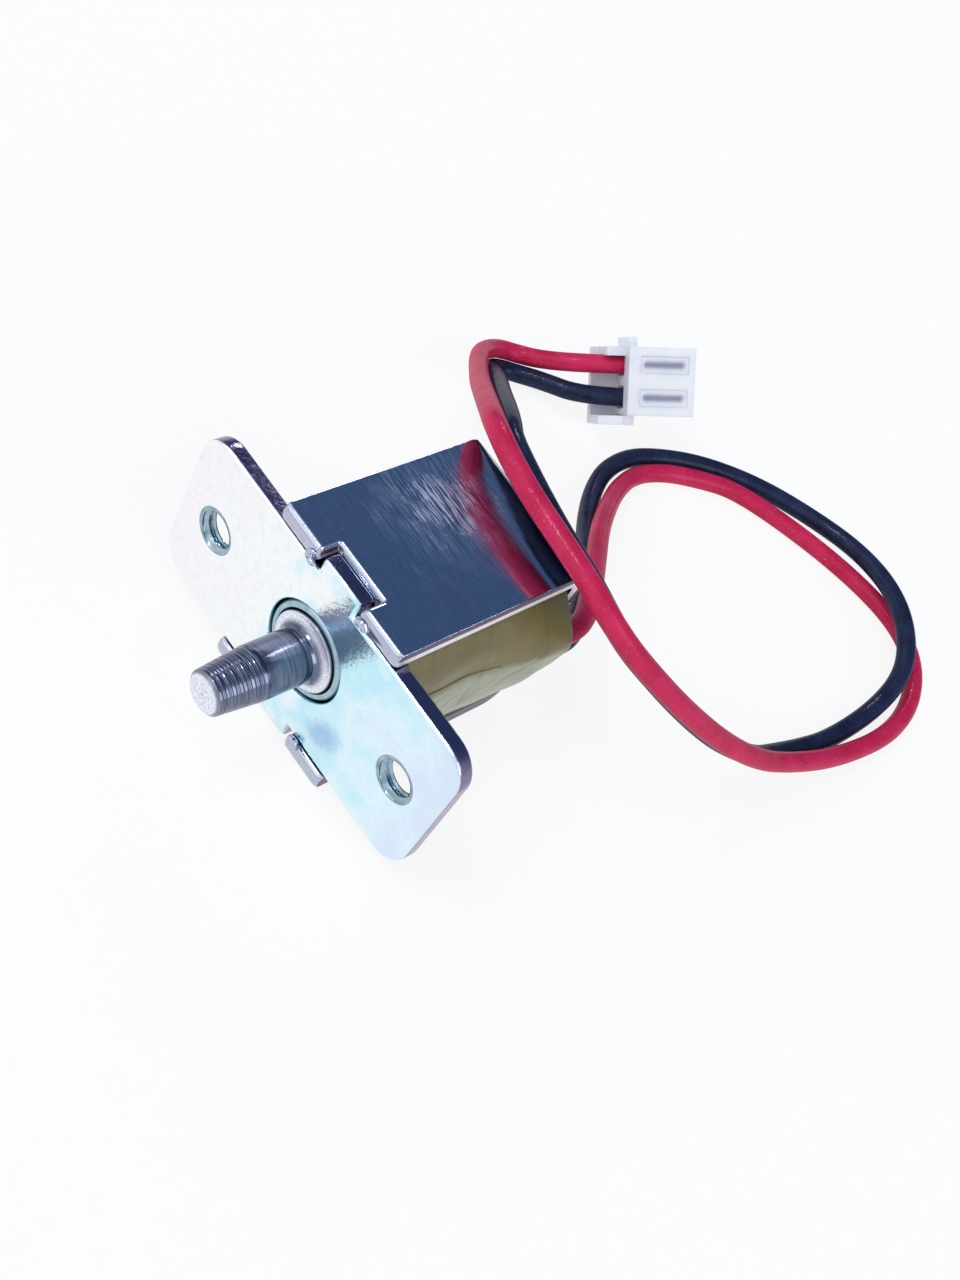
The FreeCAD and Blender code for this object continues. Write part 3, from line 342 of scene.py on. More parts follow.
def blue_zinc():
    """Pale blue zinc: bright and slightly wavy, nearly white, with cyan clouds 3 mm across on its right half
    and a bluish patch beside the window, a painted reflection of shade.

    The plate's narrow sides are smoother, as the punch burnished them, and painted darker and purple-grey as
    a painted reflection of the dusky room; the zinc on the window's wall is thin and teal.
    """
    material, tree, point = new_material("blue passivated zinc on steel plate")
    cloud = node(tree, "TexNoise", {"Vector": point, "Scale": 0.30, "Detail": 2.0, "Roughness": 0.5})
    calm = node(tree, "Math", {0: cloud, 1: 0.5, 2: 0.25}, operation="MULTIPLY_ADD")
    sideways = node(tree, "SeparateXYZ", {0: point})
    across = node(tree, "Math", {0: sideways, 1: 0.024, 2: calm}, operation="MULTIPLY_ADD")
    tint = node(tree, "ValToRGB", {"Fac": across}, stops=(
        (0.25, "#FBF8FB"), (0.45, "#F8FCFD"), (0.56, "#C2EFFB"), (0.68, "#E2F6FD"), (0.82, "#DCEAFC")))
    mist = node(tree, "TexNoise", {"Vector": point, "Scale": 1.6, "Detail": 5.0, "Roughness": 0.7})
    veil = node(tree, "ValToRGB", {"Fac": mist}, stops=((0.48, 0.0), (0.74, 0.35)))
    colour = node(tree, "Mix", {0: veil, 6: tint, 7: "#BFE6F5"}, 2, data_type="RGBA")
    # Painted reflection: a bluish patch of reflected shade beside the window.
    from_reflected_shade = node(tree, "Mapping", {"Vector": point, "Location": REFLECTED_SHADE_MIDDLE, "Rotation": REFLECTED_SHADE_TURN,
                                        "Scale": REFLECTED_SHADE_REACH}, vector_type="TEXTURE")
    reach = node(tree, "VectorMath", {0: from_reflected_shade}, "Value", operation="LENGTH")
    ragged = node(tree, "Math", {0: mist, 1: 0.7, 2: reach}, operation="MULTIPLY_ADD")
    reflected_shade = node(tree, "ValToRGB", {"Fac": ragged}, stops=((0.60, 0.62), (1.40, 0.0)))
    colour = node(tree, "Mix", {0: reflected_shade, 6: colour, 7: "#8DB4E2"}, 2, data_type="RGBA")
    grain = node(tree, "TexNoise", {"Vector": point, "Scale": 5.0, "Detail": 3.0})
    fleck = node(tree, "ValToRGB", {"Fac": grain}, stops=((0.70, 0.0), (0.76, 0.5)))
    colour = node(tree, "Mix", {0: fleck, 6: colour, 7: "#7FA3B4"}, 2, data_type="RGBA")
    side = facing(tree, 1, 0.25, 0.5, 1.0, 0.0)
    flat = node(tree, "Mapping", {"Vector": point, "Scale": (1.0, 0.0, 1.0)})
    from_axis = node(tree, "VectorMath", {0: flat}, "Value", operation="LENGTH")
    wall = node(tree, "Math", {0: from_axis, 1: WINDOW_WALL}, operation="LESS_THAN")
    # The narrow sides' purple-grey (#867A98) is a painted reflection of the dusky room.
    thin = node(tree, "Mix", {0: wall, 6: "#867A98", 7: "#8AB6C0"}, 2, data_type="RGBA")
    colour = node(tree, "Mix", {0: side, 6: colour, 7: thin}, 2, data_type="RGBA")
    rough = node(tree, "Math", {0: veil, 1: 0.22, 2: 0.13}, operation="MULTIPLY_ADD")
    long_waves = node(tree, "TexNoise", {"Vector": point, "Scale": 0.5, "Detail": 1.0})
    wave = node(tree, "Bump", {"Height": long_waves, "Distance": 0.03 * MM})
    short_waves = node(tree, "TexNoise", {"Vector": point, "Scale": 3.2, "Detail": 4.0, "Roughness": 0.6})
    bump = node(tree, "Bump", {"Height": short_waves, "Distance": 0.022 * MM, "Normal": wave})
    shader = node(tree, "BsdfPrincipled", {"Base Color": colour, "Metallic": 1.0, "Roughness": rough,
                                           "Normal": bump})
    node(tree, "OutputMaterial", {"Surface": shader})
    return material


def blanked_plate():
    """The plate as a flat outline with three round holes, given its thickness and rolled edges.

    The outline is a rectangle with quarter circles at its corners and a tongue on each long side; the curve's
    own extrusion and bevel make the thickness.
    """
    quarter = np.linspace(0, np.pi / 2, 13)
    corner = np.column_stack([PLATE_HALF_LENGTH - PLATE_CORNER * (1 - np.cos(quarter)),
                              PLATE_HALF_HEIGHT - PLATE_CORNER * (1 - np.sin(quarter))])
    tongue = np.array([(TONGUE_HALF_WIDTH, PLATE_HALF_HEIGHT),
                       (TONGUE_HALF_WIDTH, TONGUE_REACH - TONGUE_CORNER),
                       (TONGUE_HALF_WIDTH - TONGUE_CORNER, TONGUE_REACH)])
    upper_right = np.concatenate([corner, tongue])
    upper_left = upper_right[::-1] * (-1, 1)
    upper = np.concatenate([upper_right, upper_left])
    around = np.linspace(0, 2 * np.pi, 72, endpoint=False)
    circle = np.column_stack([np.cos(around), np.sin(around)])
    loops = (np.concatenate([upper, -upper]), WINDOW_RADIUS * circle,
             SCREW_RADIUS * circle + (SCREW_ACROSS, 0), SCREW_RADIUS * circle - (SCREW_ACROSS, 0))
    outline = bpy.data.curves.new("plate outline", "CURVE")
    outline.dimensions = "2D"
    outline.fill_mode = "BOTH"
    outline.bevel_resolution = 4
    outline.extrude = (PLATE_THICK / 2 - PLATE_ROLL) * MM
    outline.bevel_depth = PLATE_ROLL * MM
    outline.offset = -PLATE_ROLL * MM
    for loop in loops:
        spline = outline.splines.new("POLY")
        spline.points.add(len(loop) - 1)
        places = np.column_stack([loop * MM, 0 * loop[:, :1], 1 + 0 * loop[:, :1]])
        spline.points.foreach_set("co", places.ravel())
        spline.use_cyclic_u = True
    holder = bpy.data.objects.new("plate outline", outline)
    flat = bpy.data.meshes.new_from_object(holder)
    places = np.empty(3 * len(flat.vertices))
    flat.vertices.foreach_get("co", places)
    places = places.reshape(-1, 3) / MM
    faces = [list(face.vertices) for face in flat.polygons]
    bpy.data.objects.remove(holder)
    return np.column_stack([places[:, 0], PLATE_THICK / 2 - places[:, 2], places[:, 1]]), faces


plate = finished_mesh("plate_blank", blanked_plate(), blue_zinc(), "frame", "zinc_plate", "flange_plate")
weighted = plate.modifiers.new("flat faces stay flat", "WEIGHTED_NORMAL")
weighted.weight = 60

TURNED_SIDES = 96


def figured(name, texture, figure, stops, rough, relief=0.0, metallic=1.0, scale=(1000, 1000, 1000),
            grain=None, **settings):
    """A material with one figure, such as drawing lines or fibres, that gives its colour and its relief.

    Rough is the roughness, or the pair (gain, base) where it follows the figure: gain x figure + base. The
    relief is in mm, and grain is the scale of a noise that gives the relief in the figure's place.
    """
    material, tree, point = new_material(name, scale)
    height = node(tree, texture, {"Vector": point, **figure}, **settings)
    sockets = {"Base Color": node(tree, "ValToRGB", {"Fac": height}, stops=stops), "Metallic": metallic}
    if isinstance(rough, tuple):
        rough = node(tree, "Math", {0: height, 1: rough[0], 2: rough[1]}, operation="MULTIPLY_ADD")
    sockets["Roughness"] = rough
    if grain:
        height = node(tree, "TexNoise", {"Vector": point, "Scale": grain})
    if relief:
        sockets["Normal"] = node(tree, "Bump", {"Height": height, "Distance": relief * MM})
    node(tree, "OutputMaterial", {"Surface": node(tree, "BsdfPrincipled", sockets)})
    return material


def screw_thread(name, across, material):
    """The thread in a tapped hole, as a sleeve that stands in the hole's wall.

    The wall's radius is R + e - sqrt(e^2 - (e - depth)^2) in the rolled mouth of size e, and R below it. The
    sleeve's inner radius is that less 0.22 mm times a crest, which runs from 0 to 1 and back along each turn
    of the fraction y / pitch + angle / 2 pi. Its outer side lies inside the plate.
    """
    y = np.linspace(THREAD_START, PLATE_THICK - THREAD_START, 81)[:, None]
    angle = np.linspace(0, 2 * np.pi, TURNED_SIDES, endpoint=False)[None, :]
    depth = np.minimum(y, PLATE_THICK - y)
    mouth = np.clip(PLATE_ROLL - depth, 0, PLATE_ROLL)
    wall = SCREW_RADIUS + PLATE_ROLL - np.sqrt(PLATE_ROLL ** 2 - mouth ** 2)
    turn = (y / SCREW_PITCH + angle / (2 * np.pi)) % 1.0
    crest = np.clip(1.4 * (1 - np.abs(2 * turn - 1)) - 0.2, 0, 1)
    inner = wall - THREAD_INSET - SCREW_CREST * crest * np.clip(depth / THREAD_FADE, 0, 1)
    outer = np.broadcast_to(wall + THREAD_BACK, inner.shape)
    radius = np.concatenate([inner, outer[::-1]])
    depths = np.broadcast_to(y, inner.shape)
    depths = np.concatenate([depths, depths[::-1]])
    points = np.stack([across + radius * np.cos(angle), depths, radius * np.sin(angle)], axis=-1)
    shape = points, grid_faces(len(radius), TURNED_SIDES, True, True)
    finished_mesh(name, shape, material, "frame", "zinc_plate")


# Thin zinc on a cut thread: a teal gloss, painted darker as shade, because the flanks see mostly each other.
thread_steel = figured("tapped thread under thin zinc", "TexNoise", {"Scale": 1.5},
                       ((0.35, "#7F9DAA"), (0.65, "#A9BCC9")), 0.16, 0.01, grain=4.0)
screw_thread("screw_thread_left", -SCREW_ACROSS, thread_steel)
screw_thread("screw_thread_right", SCREW_ACROSS, thread_steel)


# Bobbin: a glass-filled nylon tube moulded with two flanges, slid over the sleeve before the plate is staked
# on. Only slivers of it show past the tape and in the plate's window.
def dress(name, material, edge=0.0):
    """Gives a CAD node its material.

    With an edge, its sharp edges are broken by that many mm: the loose triangles are welded, then every edge
    of more than 35 degrees is bevelled.
    """
    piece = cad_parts[name]
    piece.data.materials.clear()
    piece.data.materials.append(material)
    if edge:
        weld = piece.modifiers.new("weld", "WELD")
        weld.merge_threshold = 1e-6
        bevel = piece.modifiers.new("broken edges", "BEVEL")
        bevel.width = edge * MM
        bevel.segments = 2
        bevel.limit_method = "ANGLE"
        bevel.angle_limit = np.radians(35)
        bevel.harden_normals = True


# The dark nylon is satin and faintly cloudy, with a fine spark-eroded grain of 0.15 mm.
moulded_nylon = figured("dark glass-filled nylon", "TexNoise", {"Scale": 0.8},
                        ((0.3, "#232B2C"), (0.7, "#323C3D")), 0.45, 0.006, metallic=0.0, grain=6.0)
dress("bobbin", moulded_nylon, 0.08)


# Guide sleeve and fixed core: a drawn brass tube that the plunger slides in, its mouth spun out into the
# plate's window and zinc plated, and a turned iron core whose shank is riveted through the rear wall.
MOUTH_PROFILE = ((0.95, 2.59), (0.26, 2.60), (0.15, 2.65), (0.11, 2.74), (0.13, 2.88), (0.24, 3.02),
                 (0.42, 3.11), (0.66, 3.15), (1.10, 3.16))


def spun(depth, radius, closed_rows):
    """A profile turned about the axis: P = (r cos a, y, r sin a) for each depth y and radius r."""
    angle = np.linspace(0, 2 * np.pi, TURNED_SIDES, endpoint=False)
    x, z = radius[:, None] * np.cos(angle), radius[:, None] * np.sin(angle)
    points = np.stack([x, np.broadcast_to(depth[:, None], x.shape), z], axis=-1)
    return points, grid_faces(len(depth), TURNED_SIDES, closed_rows, True)


# Drawn brass is warm, with fine drawing lines of 0.1 mm along the axis.
drawn_brass = figured("drawn brass tube", "TexNoise", {"Scale": 2.5, "Detail": 3.0},
                      ((0.3, "#C39A4E"), (0.7, "#E0BC74")), (0.15, 0.22), 0.004, scale=(4000, 300, 4000))
dress("guide_sleeve", drawn_brass)

# Zinc on spun brass is a soft grey-teal gloss with fine spinning marks round the mouth.
zinc_on_brass = figured("zinc on spun brass", "TexNoise", {"Scale": 2.4, "Detail": 3.0},
                        ((0.3, "#8FB2BC"), (0.7, "#B5CBD6")), 0.28, 0.01)
mouth_depth, mouth_radius = np.array(MOUTH_PROFILE).T
finished_mesh("sleeve_mouth", spun(mouth_depth, mouth_radius, True), zinc_on_brass, "frame", "brass_tube")

# Turned and plated soft iron is grey, with rings from the lathe about 0.12 mm apart on its faces.
turned_iron = figured("turned soft iron", "TexWave", {"Scale": 2.6, "Distortion": 0.6, "Detail": 2.0},
                      ((0.2, "#9FA1A8"), (0.8, "#C3C6CE")), (0.12, 0.28), 0.006,
                      wave_type="RINGS", rings_direction="Y")
dress("fixed_core", turned_iron, 0.08)


# Coil: enamelled copper wire of 0.3 mm wound on the bobbin side by side, an amber gloss with a groove between
# turns. Its two ends are brought out to splices on a paper pad, and the tape covers all of it.
enamelled_copper = figured("enamelled copper wire", "TexWave", {"Scale": 1.06, "Distortion": 0.3},
                           ((0.1, "#7E3B17"), (0.7, "#D07C3C")), 0.25, 0.05, metallic=0.8,
                           bands_direction="Y")
dress("coil_winding", enamelled_copper)
for name in ("coil_start_tail", "coil_finish_tail"):
    dress(name, enamelled_copper)

# Insulating paper is tan and matt, with fibres about 0.2 mm thick and 1 mm long.
insulating_paper = figured("insulating paper", "TexNoise", {"Scale": 4.0, "Detail": 4.0, "Roughness": 0.7},
                           ((0.3, "#A8946A"), (0.7, "#CDBB90")), 0.85, 0.02, metallic=0.0,
                           scale=(1000, 300, 1600))
dress("insulation_pad", insulating_paper)

# Woven glass sleeving is off-white, with a diagonal weave of 0.25 mm.
glass_sleeving = figured("woven glass sleeving", "TexWave", {"Scale": 1.3},
                         ((0.2, "#CFCBBE"), (0.8, "#EEEBE2")), 0.6, 0.03, metallic=0.0,
                         bands_direction="DIAGONAL")
for name in ("splice_red", "splice_black"):
    dress(name, glass_sleeving)


# Tape: thin yellowish polyester film wound over the coil and the splices by hand, so it bulges over the
# leads where they come out, with a soft ridge along its side and small creases below it.
TAPE_FRONT, TAPE_BACK, TAPE_THICK, TAPE_ROUND = 1.32, 13.95, 0.12, 360
FLARE_START, WAVE_HEIGHT, SIDE_START, SIDE_BLEND = 0.38, 0.020, 4.6, 1.2
SPECK_PLACE = (6.42, 8.55, 0.90)
FRONT_SECTION = (
    (-4.20, -5.96), (5.10, -5.96), (5.70, -4.60), (6.05, -3.00), (6.36, -0.60), (6.56, 2.10), (6.22, 4.10),
    (5.16, 5.96), (-4.20, 5.96), (-6.10, 3.98), (-6.10, -3.98),
)
BACK_SECTION = (
    (-4.20, -5.96), (5.10, -5.96), (5.95, -4.40), (6.75, -2.20), (7.35, 0.40), (7.84, 2.90), (7.30, 4.00),
    (5.16, 5.96), (-4.20, 5.96), (-6.10, 3.98), (-6.10, -3.98),
)
# Each small crease: its middle along the axis and in height, slant, half width, half height and depth.
TROUGHS = (
    (3.0, -0.6, 0.35, 0.16, 1.5, 0.16), (4.0, -1.6, -0.45, 0.20, 1.3, 0.14),
    (4.7, 0.4, 0.25, 0.13, 1.0, 0.09), (5.9, -1.4, 0.55, 0.22, 1.6, 0.12),
    (7.9, -0.9, -0.3, 0.18, 1.6, 0.09), (10.6, 1.2, 0.5, 0.25, 1.8, 0.10),
    (12.4, 0.2, -0.6, 0.22, 1.5, 0.12), (2.3, 2.8, 0.2, 0.14, 1.0, 0.06),
)


def run_length(line):
    """How far along a broken line each of its points lies."""
    return np.concatenate([[0], np.cumsum(np.linalg.norm(np.diff(line, axis=0), axis=1))])


def tape_surface(along):
    """Points of the tape's outer face at the depths along the axis, as 360 points round each.

    P = (1 - s) F + s B, with F and B the front and back sections run through at even steps of their own
    length and rounded by a running mean, and s a smooth step of the depth. The right side then moves in by
    a long shallow wave and by narrow slanted troughs, each a product of two bell curves.
    """
    share = (along - TAPE_FRONT) / (TAPE_BACK - TAPE_FRONT)
    s = np.clip((share - FLARE_START) / (1 - FLARE_START), 0, 1)
    s = (s * s * (3 - 2 * s))[:, None, None]
    outlines = []
    for section in (FRONT_SECTION, BACK_SECTION):
        closed = np.array(section + section[:1])
        run = run_length(closed)
        even = np.linspace(0, run[-1], TAPE_ROUND + 1)[:-1]
        line = np.stack([np.interp(even, run, closed[:, k]) for k in (0, 1)], axis=-1)
        outlines.append(sum(np.roll(line, shift, axis=0) for shift in range(-4, 5)) / 9)
    outline = outlines[0] + s * (outlines[1] - outlines[0])
    x, z = outline[..., 0], outline[..., 1]
    y = np.broadcast_to(along[:, None], x.shape)
    inward = WAVE_HEIGHT * (np.sin(1.9 * y + 0.9 * z) + np.sin(0.8 * y - 1.7 * z + 1.0))
    for y0, z0, slant, width, height, depth in TROUGHS:
        across_trough = ((y - y0 - slant * (z - z0)) / width) ** 2
        inward = inward + depth * np.exp(-across_trough - ((z - z0) / height) ** 2)
    on_side = np.clip((x - SIDE_START) / SIDE_BLEND, 0, 1)
    return np.stack([x - on_side * inward, y, z], axis=-1)


def polyester_tape():
    """Yellow-olive polyester tape: satin film, darker olive above the ridge as painted shade under the arm,
    and paler and greener below it as painted light from the table.

    Each layer's edge shows as a darker line about every 4 mm along the axis, and one black speck of dirt of
    0.25 mm is stuck under the film.
    """
    material, tree, point = new_material("yellow polyester tape")
    along = node(tree, "SeparateXYZ", {0: point}, 1)
    height = node(tree, "SeparateXYZ", {0: point}, 2)
    cloud = node(tree, "TexNoise", {"Vector": point, "Scale": 0.45, "Detail": 3.0})
    # Painted shade and light: darker olive above the ridge, paler and greener below it.
    film = node(tree, "ValToRGB", {"Fac": cloud}, stops=((0.30, "#6C6136"), (0.70, "#7A6E47")))
    painted_light_below = node(tree, "ValToRGB", {"Fac": cloud}, stops=((0.30, "#83876A"), (0.70, "#9A9D82")))
    ridge = node(tree, "Math", {0: along, 1: 0.10, 2: 1.55}, operation="MULTIPLY_ADD")
    below = node(tree, "Math", {0: ridge, 1: height}, operation="SUBTRACT")
    uneven = node(tree, "TexNoise", {"Vector": point, "Scale": 0.7, "Detail": 3.0})
    below = node(tree, "Math", {0: uneven, 1: 1.2, 2: below}, operation="MULTIPLY_ADD")
    below = node(tree, "Math", {0: below, 1: 0.35, 2: 0.1}, operation="MULTIPLY_ADD")
    share = node(tree, "ValToRGB", {"Fac": below}, stops=((0.18, 0.0), (0.42, 1.0)))
    colour = node(tree, "Mix", {0: share, 6: film, 7: painted_light_below}, 2, data_type="RGBA")
    shifted = node(tree, "Mapping", {"Vector": point, "Location": (0, 1.3, 0)})
    layers = node(tree, "TexWave", {"Vector": shifted, "Scale": 0.072, "Distortion": 1.2, "Detail": 1.0,
                                    "Detail Scale": 0.3}, bands_direction="Y", wave_profile="SAW")
    edges = node(tree, "ValToRGB", {"Fac": layers},
                 stops=((0.0, 0.25), (0.06, 0.0), (0.94, 0.0), (1.0, 0.25)))
    colour = node(tree, "Mix", {0: edges, 6: colour, 7: "#544C2A"}, 2, data_type="RGBA")
    from_speck = node(tree, "VectorMath", {0: point, 1: SPECK_PLACE}, operation="SUBTRACT")
    distance = node(tree, "VectorMath", {0: from_speck}, "Value", operation="LENGTH")
    speck = node(tree, "ValToRGB", {"Fac": distance}, stops=((0.10, 1.0), (0.15, 0.0)))
    colour = node(tree, "Mix", {0: speck, 6: colour, 7: "#17160F"}, 2, data_type="RGBA")
    steps = node(tree, "Bump", {"Height": layers, "Distance": 0.05 * MM})
    stretched = node(tree, "Mapping", {"Vector": point, "Scale": (1.0, 0.5, 1.4)})
    crinkle = node(tree, "TexNoise", {"Vector": stretched, "Scale": 1.3, "Detail": 4.0})
    bump = node(tree, "Bump", {"Height": crinkle, "Distance": 0.05 * MM, "Normal": steps})
    shader = node(tree, "BsdfPrincipled", {"Base Color": colour, "Roughness": 0.34, "Normal": bump})
    node(tree, "OutputMaterial", {"Surface": shader})
    return material


def close_ends(rings):
    """Rings of points, with the middle of the first and of the last ring added as a ring of no size."""
    first, last = [0 * ring + ring.mean(axis=1, keepdims=True) for ring in (rings[:1], rings[-1:])]
    return np.concatenate([first, rings, last])


tape_film = polyester_tape()
outside = tape_surface(np.linspace(TAPE_FRONT, TAPE_BACK, 110))
outward = outside - outside.mean(axis=1, keepdims=True)
inside = outside - TAPE_THICK * outward / np.linalg.norm(outward, axis=-1, keepdims=True)
shell = np.concatenate([outside, inside[::-1]])
tape_shape = shell, grid_faces(len(shell), TAPE_ROUND, True, True)
finished_mesh("tape_film", tape_shape, tape_film, "frame", "tape", "tape_wrap")

TAIL_FRONT, TAIL_BACK = 1.40, 8.95
TAIL_FIRST, TAIL_LAST = 112, 148
TAIL_OUTER, TAIL_INNER = (0.045, 0, 0), (0.02, 0, 0)
flap = tape_surface(np.linspace(TAIL_FRONT, TAIL_BACK, 70))[:, TAIL_FIRST:TAIL_LAST]
band = close_ends(np.concatenate([flap + TAIL_OUTER, flap[:, ::-1] - TAIL_INNER], axis=1))
tail_shape = band, grid_faces(*band.shape[:2], closed_columns=True)
finished_mesh("tape_free_end", tail_shape, tape_film, "frame", "tape", "tape_end")


# Buffer washer: a black nitrile rubber ring that quiets the plunger's return behind the rear wall. It is
# matt, with a dusty grey bloom in patches of 0.4 mm.
black_rubber = figured("black nitrile rubber", "TexNoise", {"Scale": 2.5, "Detail": 4.0},
                       ((0.35, "#171717"), (0.7, "#2C2C2D")), 0.75, 0.01, metallic=0.0)
dress("buffer_washer", black_rubber, 0.05)


# Plunger: one turned steel piece, bright nickel plated. Its pin sticks out through the plate, its body slides
# in the brass sleeve, and a thin tail rod runs through the core to the ring behind the rear wall.
PIN_TIP, PIN_END, PIN_RADIUS, GROOVE_HALF_WIDTH = -6.9, -3.5, 1.70, 0.05
BODY_RADIUS, BODY_END, POCKET_RADIUS, POCKET_END = 2.55, 6.3, 2.10, 3.5
ROD_RADIUS, RING_GROOVE_RADIUS, RING_FRONT, RING_BACK, ROD_END = 0.80, 0.56, 16.30, 16.70, 18.1
PIN_GROOVES = (
    (-6.42, 0.05), (-6.20, 0.03), (-6.02, 0.06), (-5.80, 0.03), (-5.55, 0.07), (-5.36, 0.03), (-5.12, 0.05),
    (-4.86, 0.07), (-4.62, 0.03), (-4.35, 0.05), (-4.08, 0.06), (-3.80, 0.03),
)


def turned_plunger():
    """The plunger's profile turned about the axis: P = (r cos a, y, r sin a) for each pair (y, r).

    The profile runs through its corners in even steps, down the pin, through the hollow at its foot, over
    the body and into the spring's pocket, and along the tail rod. On the pin, r loses a bell curve at each
    turning groove.
    """
    corners = np.array([
        (PIN_TIP + 0.09, 0.0), (PIN_TIP + 0.02, 0.12), (PIN_TIP, 0.22), (PIN_TIP + 0.01, 0.7),
        (PIN_TIP + 0.05, 1.18), (PIN_TIP + 0.10, 1.25), (PIN_TIP + 0.22, 1.38), (PIN_TIP + 0.32, 1.41),
        (PIN_END, PIN_RADIUS), (-0.80, PIN_RADIUS), (-0.55, 1.72), (-0.38, 1.77), (-0.24, 1.85),
        (-0.14, 1.96), (-0.06, 2.09), (-0.02, 2.22), (0.0, 2.36), (0.0, 2.46), (0.03, 2.52),
        (0.10, BODY_RADIUS), (BODY_END - 0.2, BODY_RADIUS), (BODY_END, 2.40), (BODY_END, 2.12),
        (BODY_END - 0.05, POCKET_RADIUS), (POCKET_END + 0.02, POCKET_RADIUS), (POCKET_END, 2.05),
        (POCKET_END, 0.82), (POCKET_END + 0.03, ROD_RADIUS), (RING_FRONT - 0.02, ROD_RADIUS),
        (RING_FRONT, RING_GROOVE_RADIUS), (RING_BACK, RING_GROOVE_RADIUS), (RING_BACK + 0.02, ROD_RADIUS),
        (ROD_END - 0.2, ROD_RADIUS), (ROD_END, 0.60), (ROD_END, 0.0),
    ])
    run = run_length(corners)
    steps = np.unique(np.concatenate([run, np.linspace(0, run[-1], 700)]))
    y = np.interp(steps, run, corners[:, 0])
    r = np.interp(steps, run, corners[:, 1])
    for place, depth in PIN_GROOVES:
        r = r - depth * np.exp(-((y - place) / GROOVE_HALF_WIDTH) ** 2) * (r > 1.3)
    return spun(y, r, False)


def plated_turned_steel():
    """Nickel on turned steel: a mirror round the pin, painted dark grey-blue as a painted reflection of the
    dusky room, with feed lines 0.1 mm apart that catch the light.

    The cut end faces, whose normals lie along Y, are matt and sparkle.
    """
    material, tree, point = new_material("bright nickel on turned steel")
    face = facing(tree, 1, 0.7, 0.95, 0.0, 1.0)
    feed_place = node(tree, "Mapping", {"Vector": point, "Scale": (0.15, 3.2, 0.15)})
    feed = node(tree, "TexNoise", {"Vector": feed_place, "Scale": 2.2, "Detail": 3.0, "Roughness": 0.6})
    sparkle = node(tree, "TexNoise", {"Vector": point, "Scale": 7.0, "Detail": 2.0})
    # Painted reflection: the sides are dark grey-blue for the dusky room they mirror; the cut faces stay
    # bright.
    steel = node(tree, "ValToRGB", {"Fac": feed}, stops=((0.35, "#5E6176"), (0.65, "#7E8296")))
    cut = node(tree, "ValToRGB", {"Fac": sparkle}, stops=((0.35, "#D4D8E6"), (0.62, "#F6F8FF")))
    colour = node(tree, "Mix", {0: face, 6: steel, 7: cut}, 2, data_type="RGBA")
    rough = node(tree, "Math", {0: feed, 1: 0.10, 2: 0.11}, operation="MULTIPLY_ADD")
    rough = node(tree, "Math", {0: face, 1: 0.28, 2: rough}, operation="MULTIPLY_ADD")
    lines = node(tree, "Bump", {"Height": feed, "Distance": 0.0018 * MM})
    grain = node(tree, "Math", {0: sparkle, 1: face}, operation="MULTIPLY")
    bump = node(tree, "Bump", {"Height": grain, "Distance": 0.02 * MM, "Normal": lines})
    shader = node(tree, "BsdfPrincipled", {"Base Color": colour, "Metallic": 1.0, "Roughness": rough,
                                           "Normal": bump})
    node(tree, "OutputMaterial", {"Surface": shader})
    return material


pin_nickel = plated_turned_steel()
finished_mesh("plunger_turned", turned_plunger(), pin_nickel, "plunger", "plated_plunger", "plunger")


# Return spring: hard drawn 0.35 mm spring wire, eight turns with closed ends, between the pocket in the
# plunger and the pocket in the core. The real spring shortens as the plunger goes in; it is drawn here at one
# length.
SPRING_FRONT, SPRING_BACK, SPRING_TURNS = 3.56, 10.74, 8.0
SPRING_RADIUS, WIRE_RADIUS, WIRE_SIDES = 1.775, 0.17, 12


def coiled_wire():
    """A wire of radius w on a helix C(t) = (R cos a, y(t), R sin a), with a = 2 pi N t.

    y is closed at both ends: the first and last turns rise by one wire, the rest evenly. The wire's section
    is turned between the helix's radial direction and its binormal.
    """
    t = np.linspace(0, 1, 481)
    angle = 2 * np.pi * SPRING_TURNS * t
    turn = SPRING_TURNS * t
    rise = np.interp(turn, (0, 1, SPRING_TURNS - 1, SPRING_TURNS), (0, 0.05, 0.95, 1))
    low, high = SPRING_FRONT + WIRE_RADIUS, SPRING_BACK - WIRE_RADIUS
    radial = np.stack([np.cos(angle), 0 * angle, np.sin(angle)], axis=-1)
    centre = SPRING_RADIUS * radial
    centre[:, 1] = low + (high - low) * rise
    forward = np.gradient(centre, axis=0)
    forward /= np.linalg.norm(forward, axis=1, keepdims=True)
    binormal = np.cross(forward, radial)
    around = np.linspace(0, 2 * np.pi, WIRE_SIDES, endpoint=False)[None, :, None]
    across = np.cos(around) * radial[:, None] + np.sin(around) * binormal[:, None]
    tube = close_ends(centre[:, None] + WIRE_RADIUS * across)
    return tube, grid_faces(len(tube), WIRE_SIDES, closed_columns=True)


# Hard drawn spring steel is grey, with fine drawing lines and a trace of oil.
spring_steel = figured("hard drawn spring steel", "TexNoise", {"Scale": 2.0, "Detail": 3.0},
                       ((0.3, "#8E8F94"), (0.7, "#B4B5BA")), (0.2, 0.2))
spring = finished_mesh("return_spring_wire", coiled_wire(), spring_steel, "frame", "spring_steel",
                       "return_spring")
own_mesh(spring)


# Retaining ring: an open ring of blackened and oiled spring steel snapped into the groove of the tail rod.
# It is dark brown-grey, rubbed brighter in patches of 0.5 mm.
blackened_steel = figured("blackened spring steel", "TexNoise", {"Scale": 2.0, "Detail": 4.0},
                          ((0.4, "#3A3835"), (0.7, "#77746E")), (0.2, 0.25))
dress("retaining_ring", blackened_steel, 0.04)


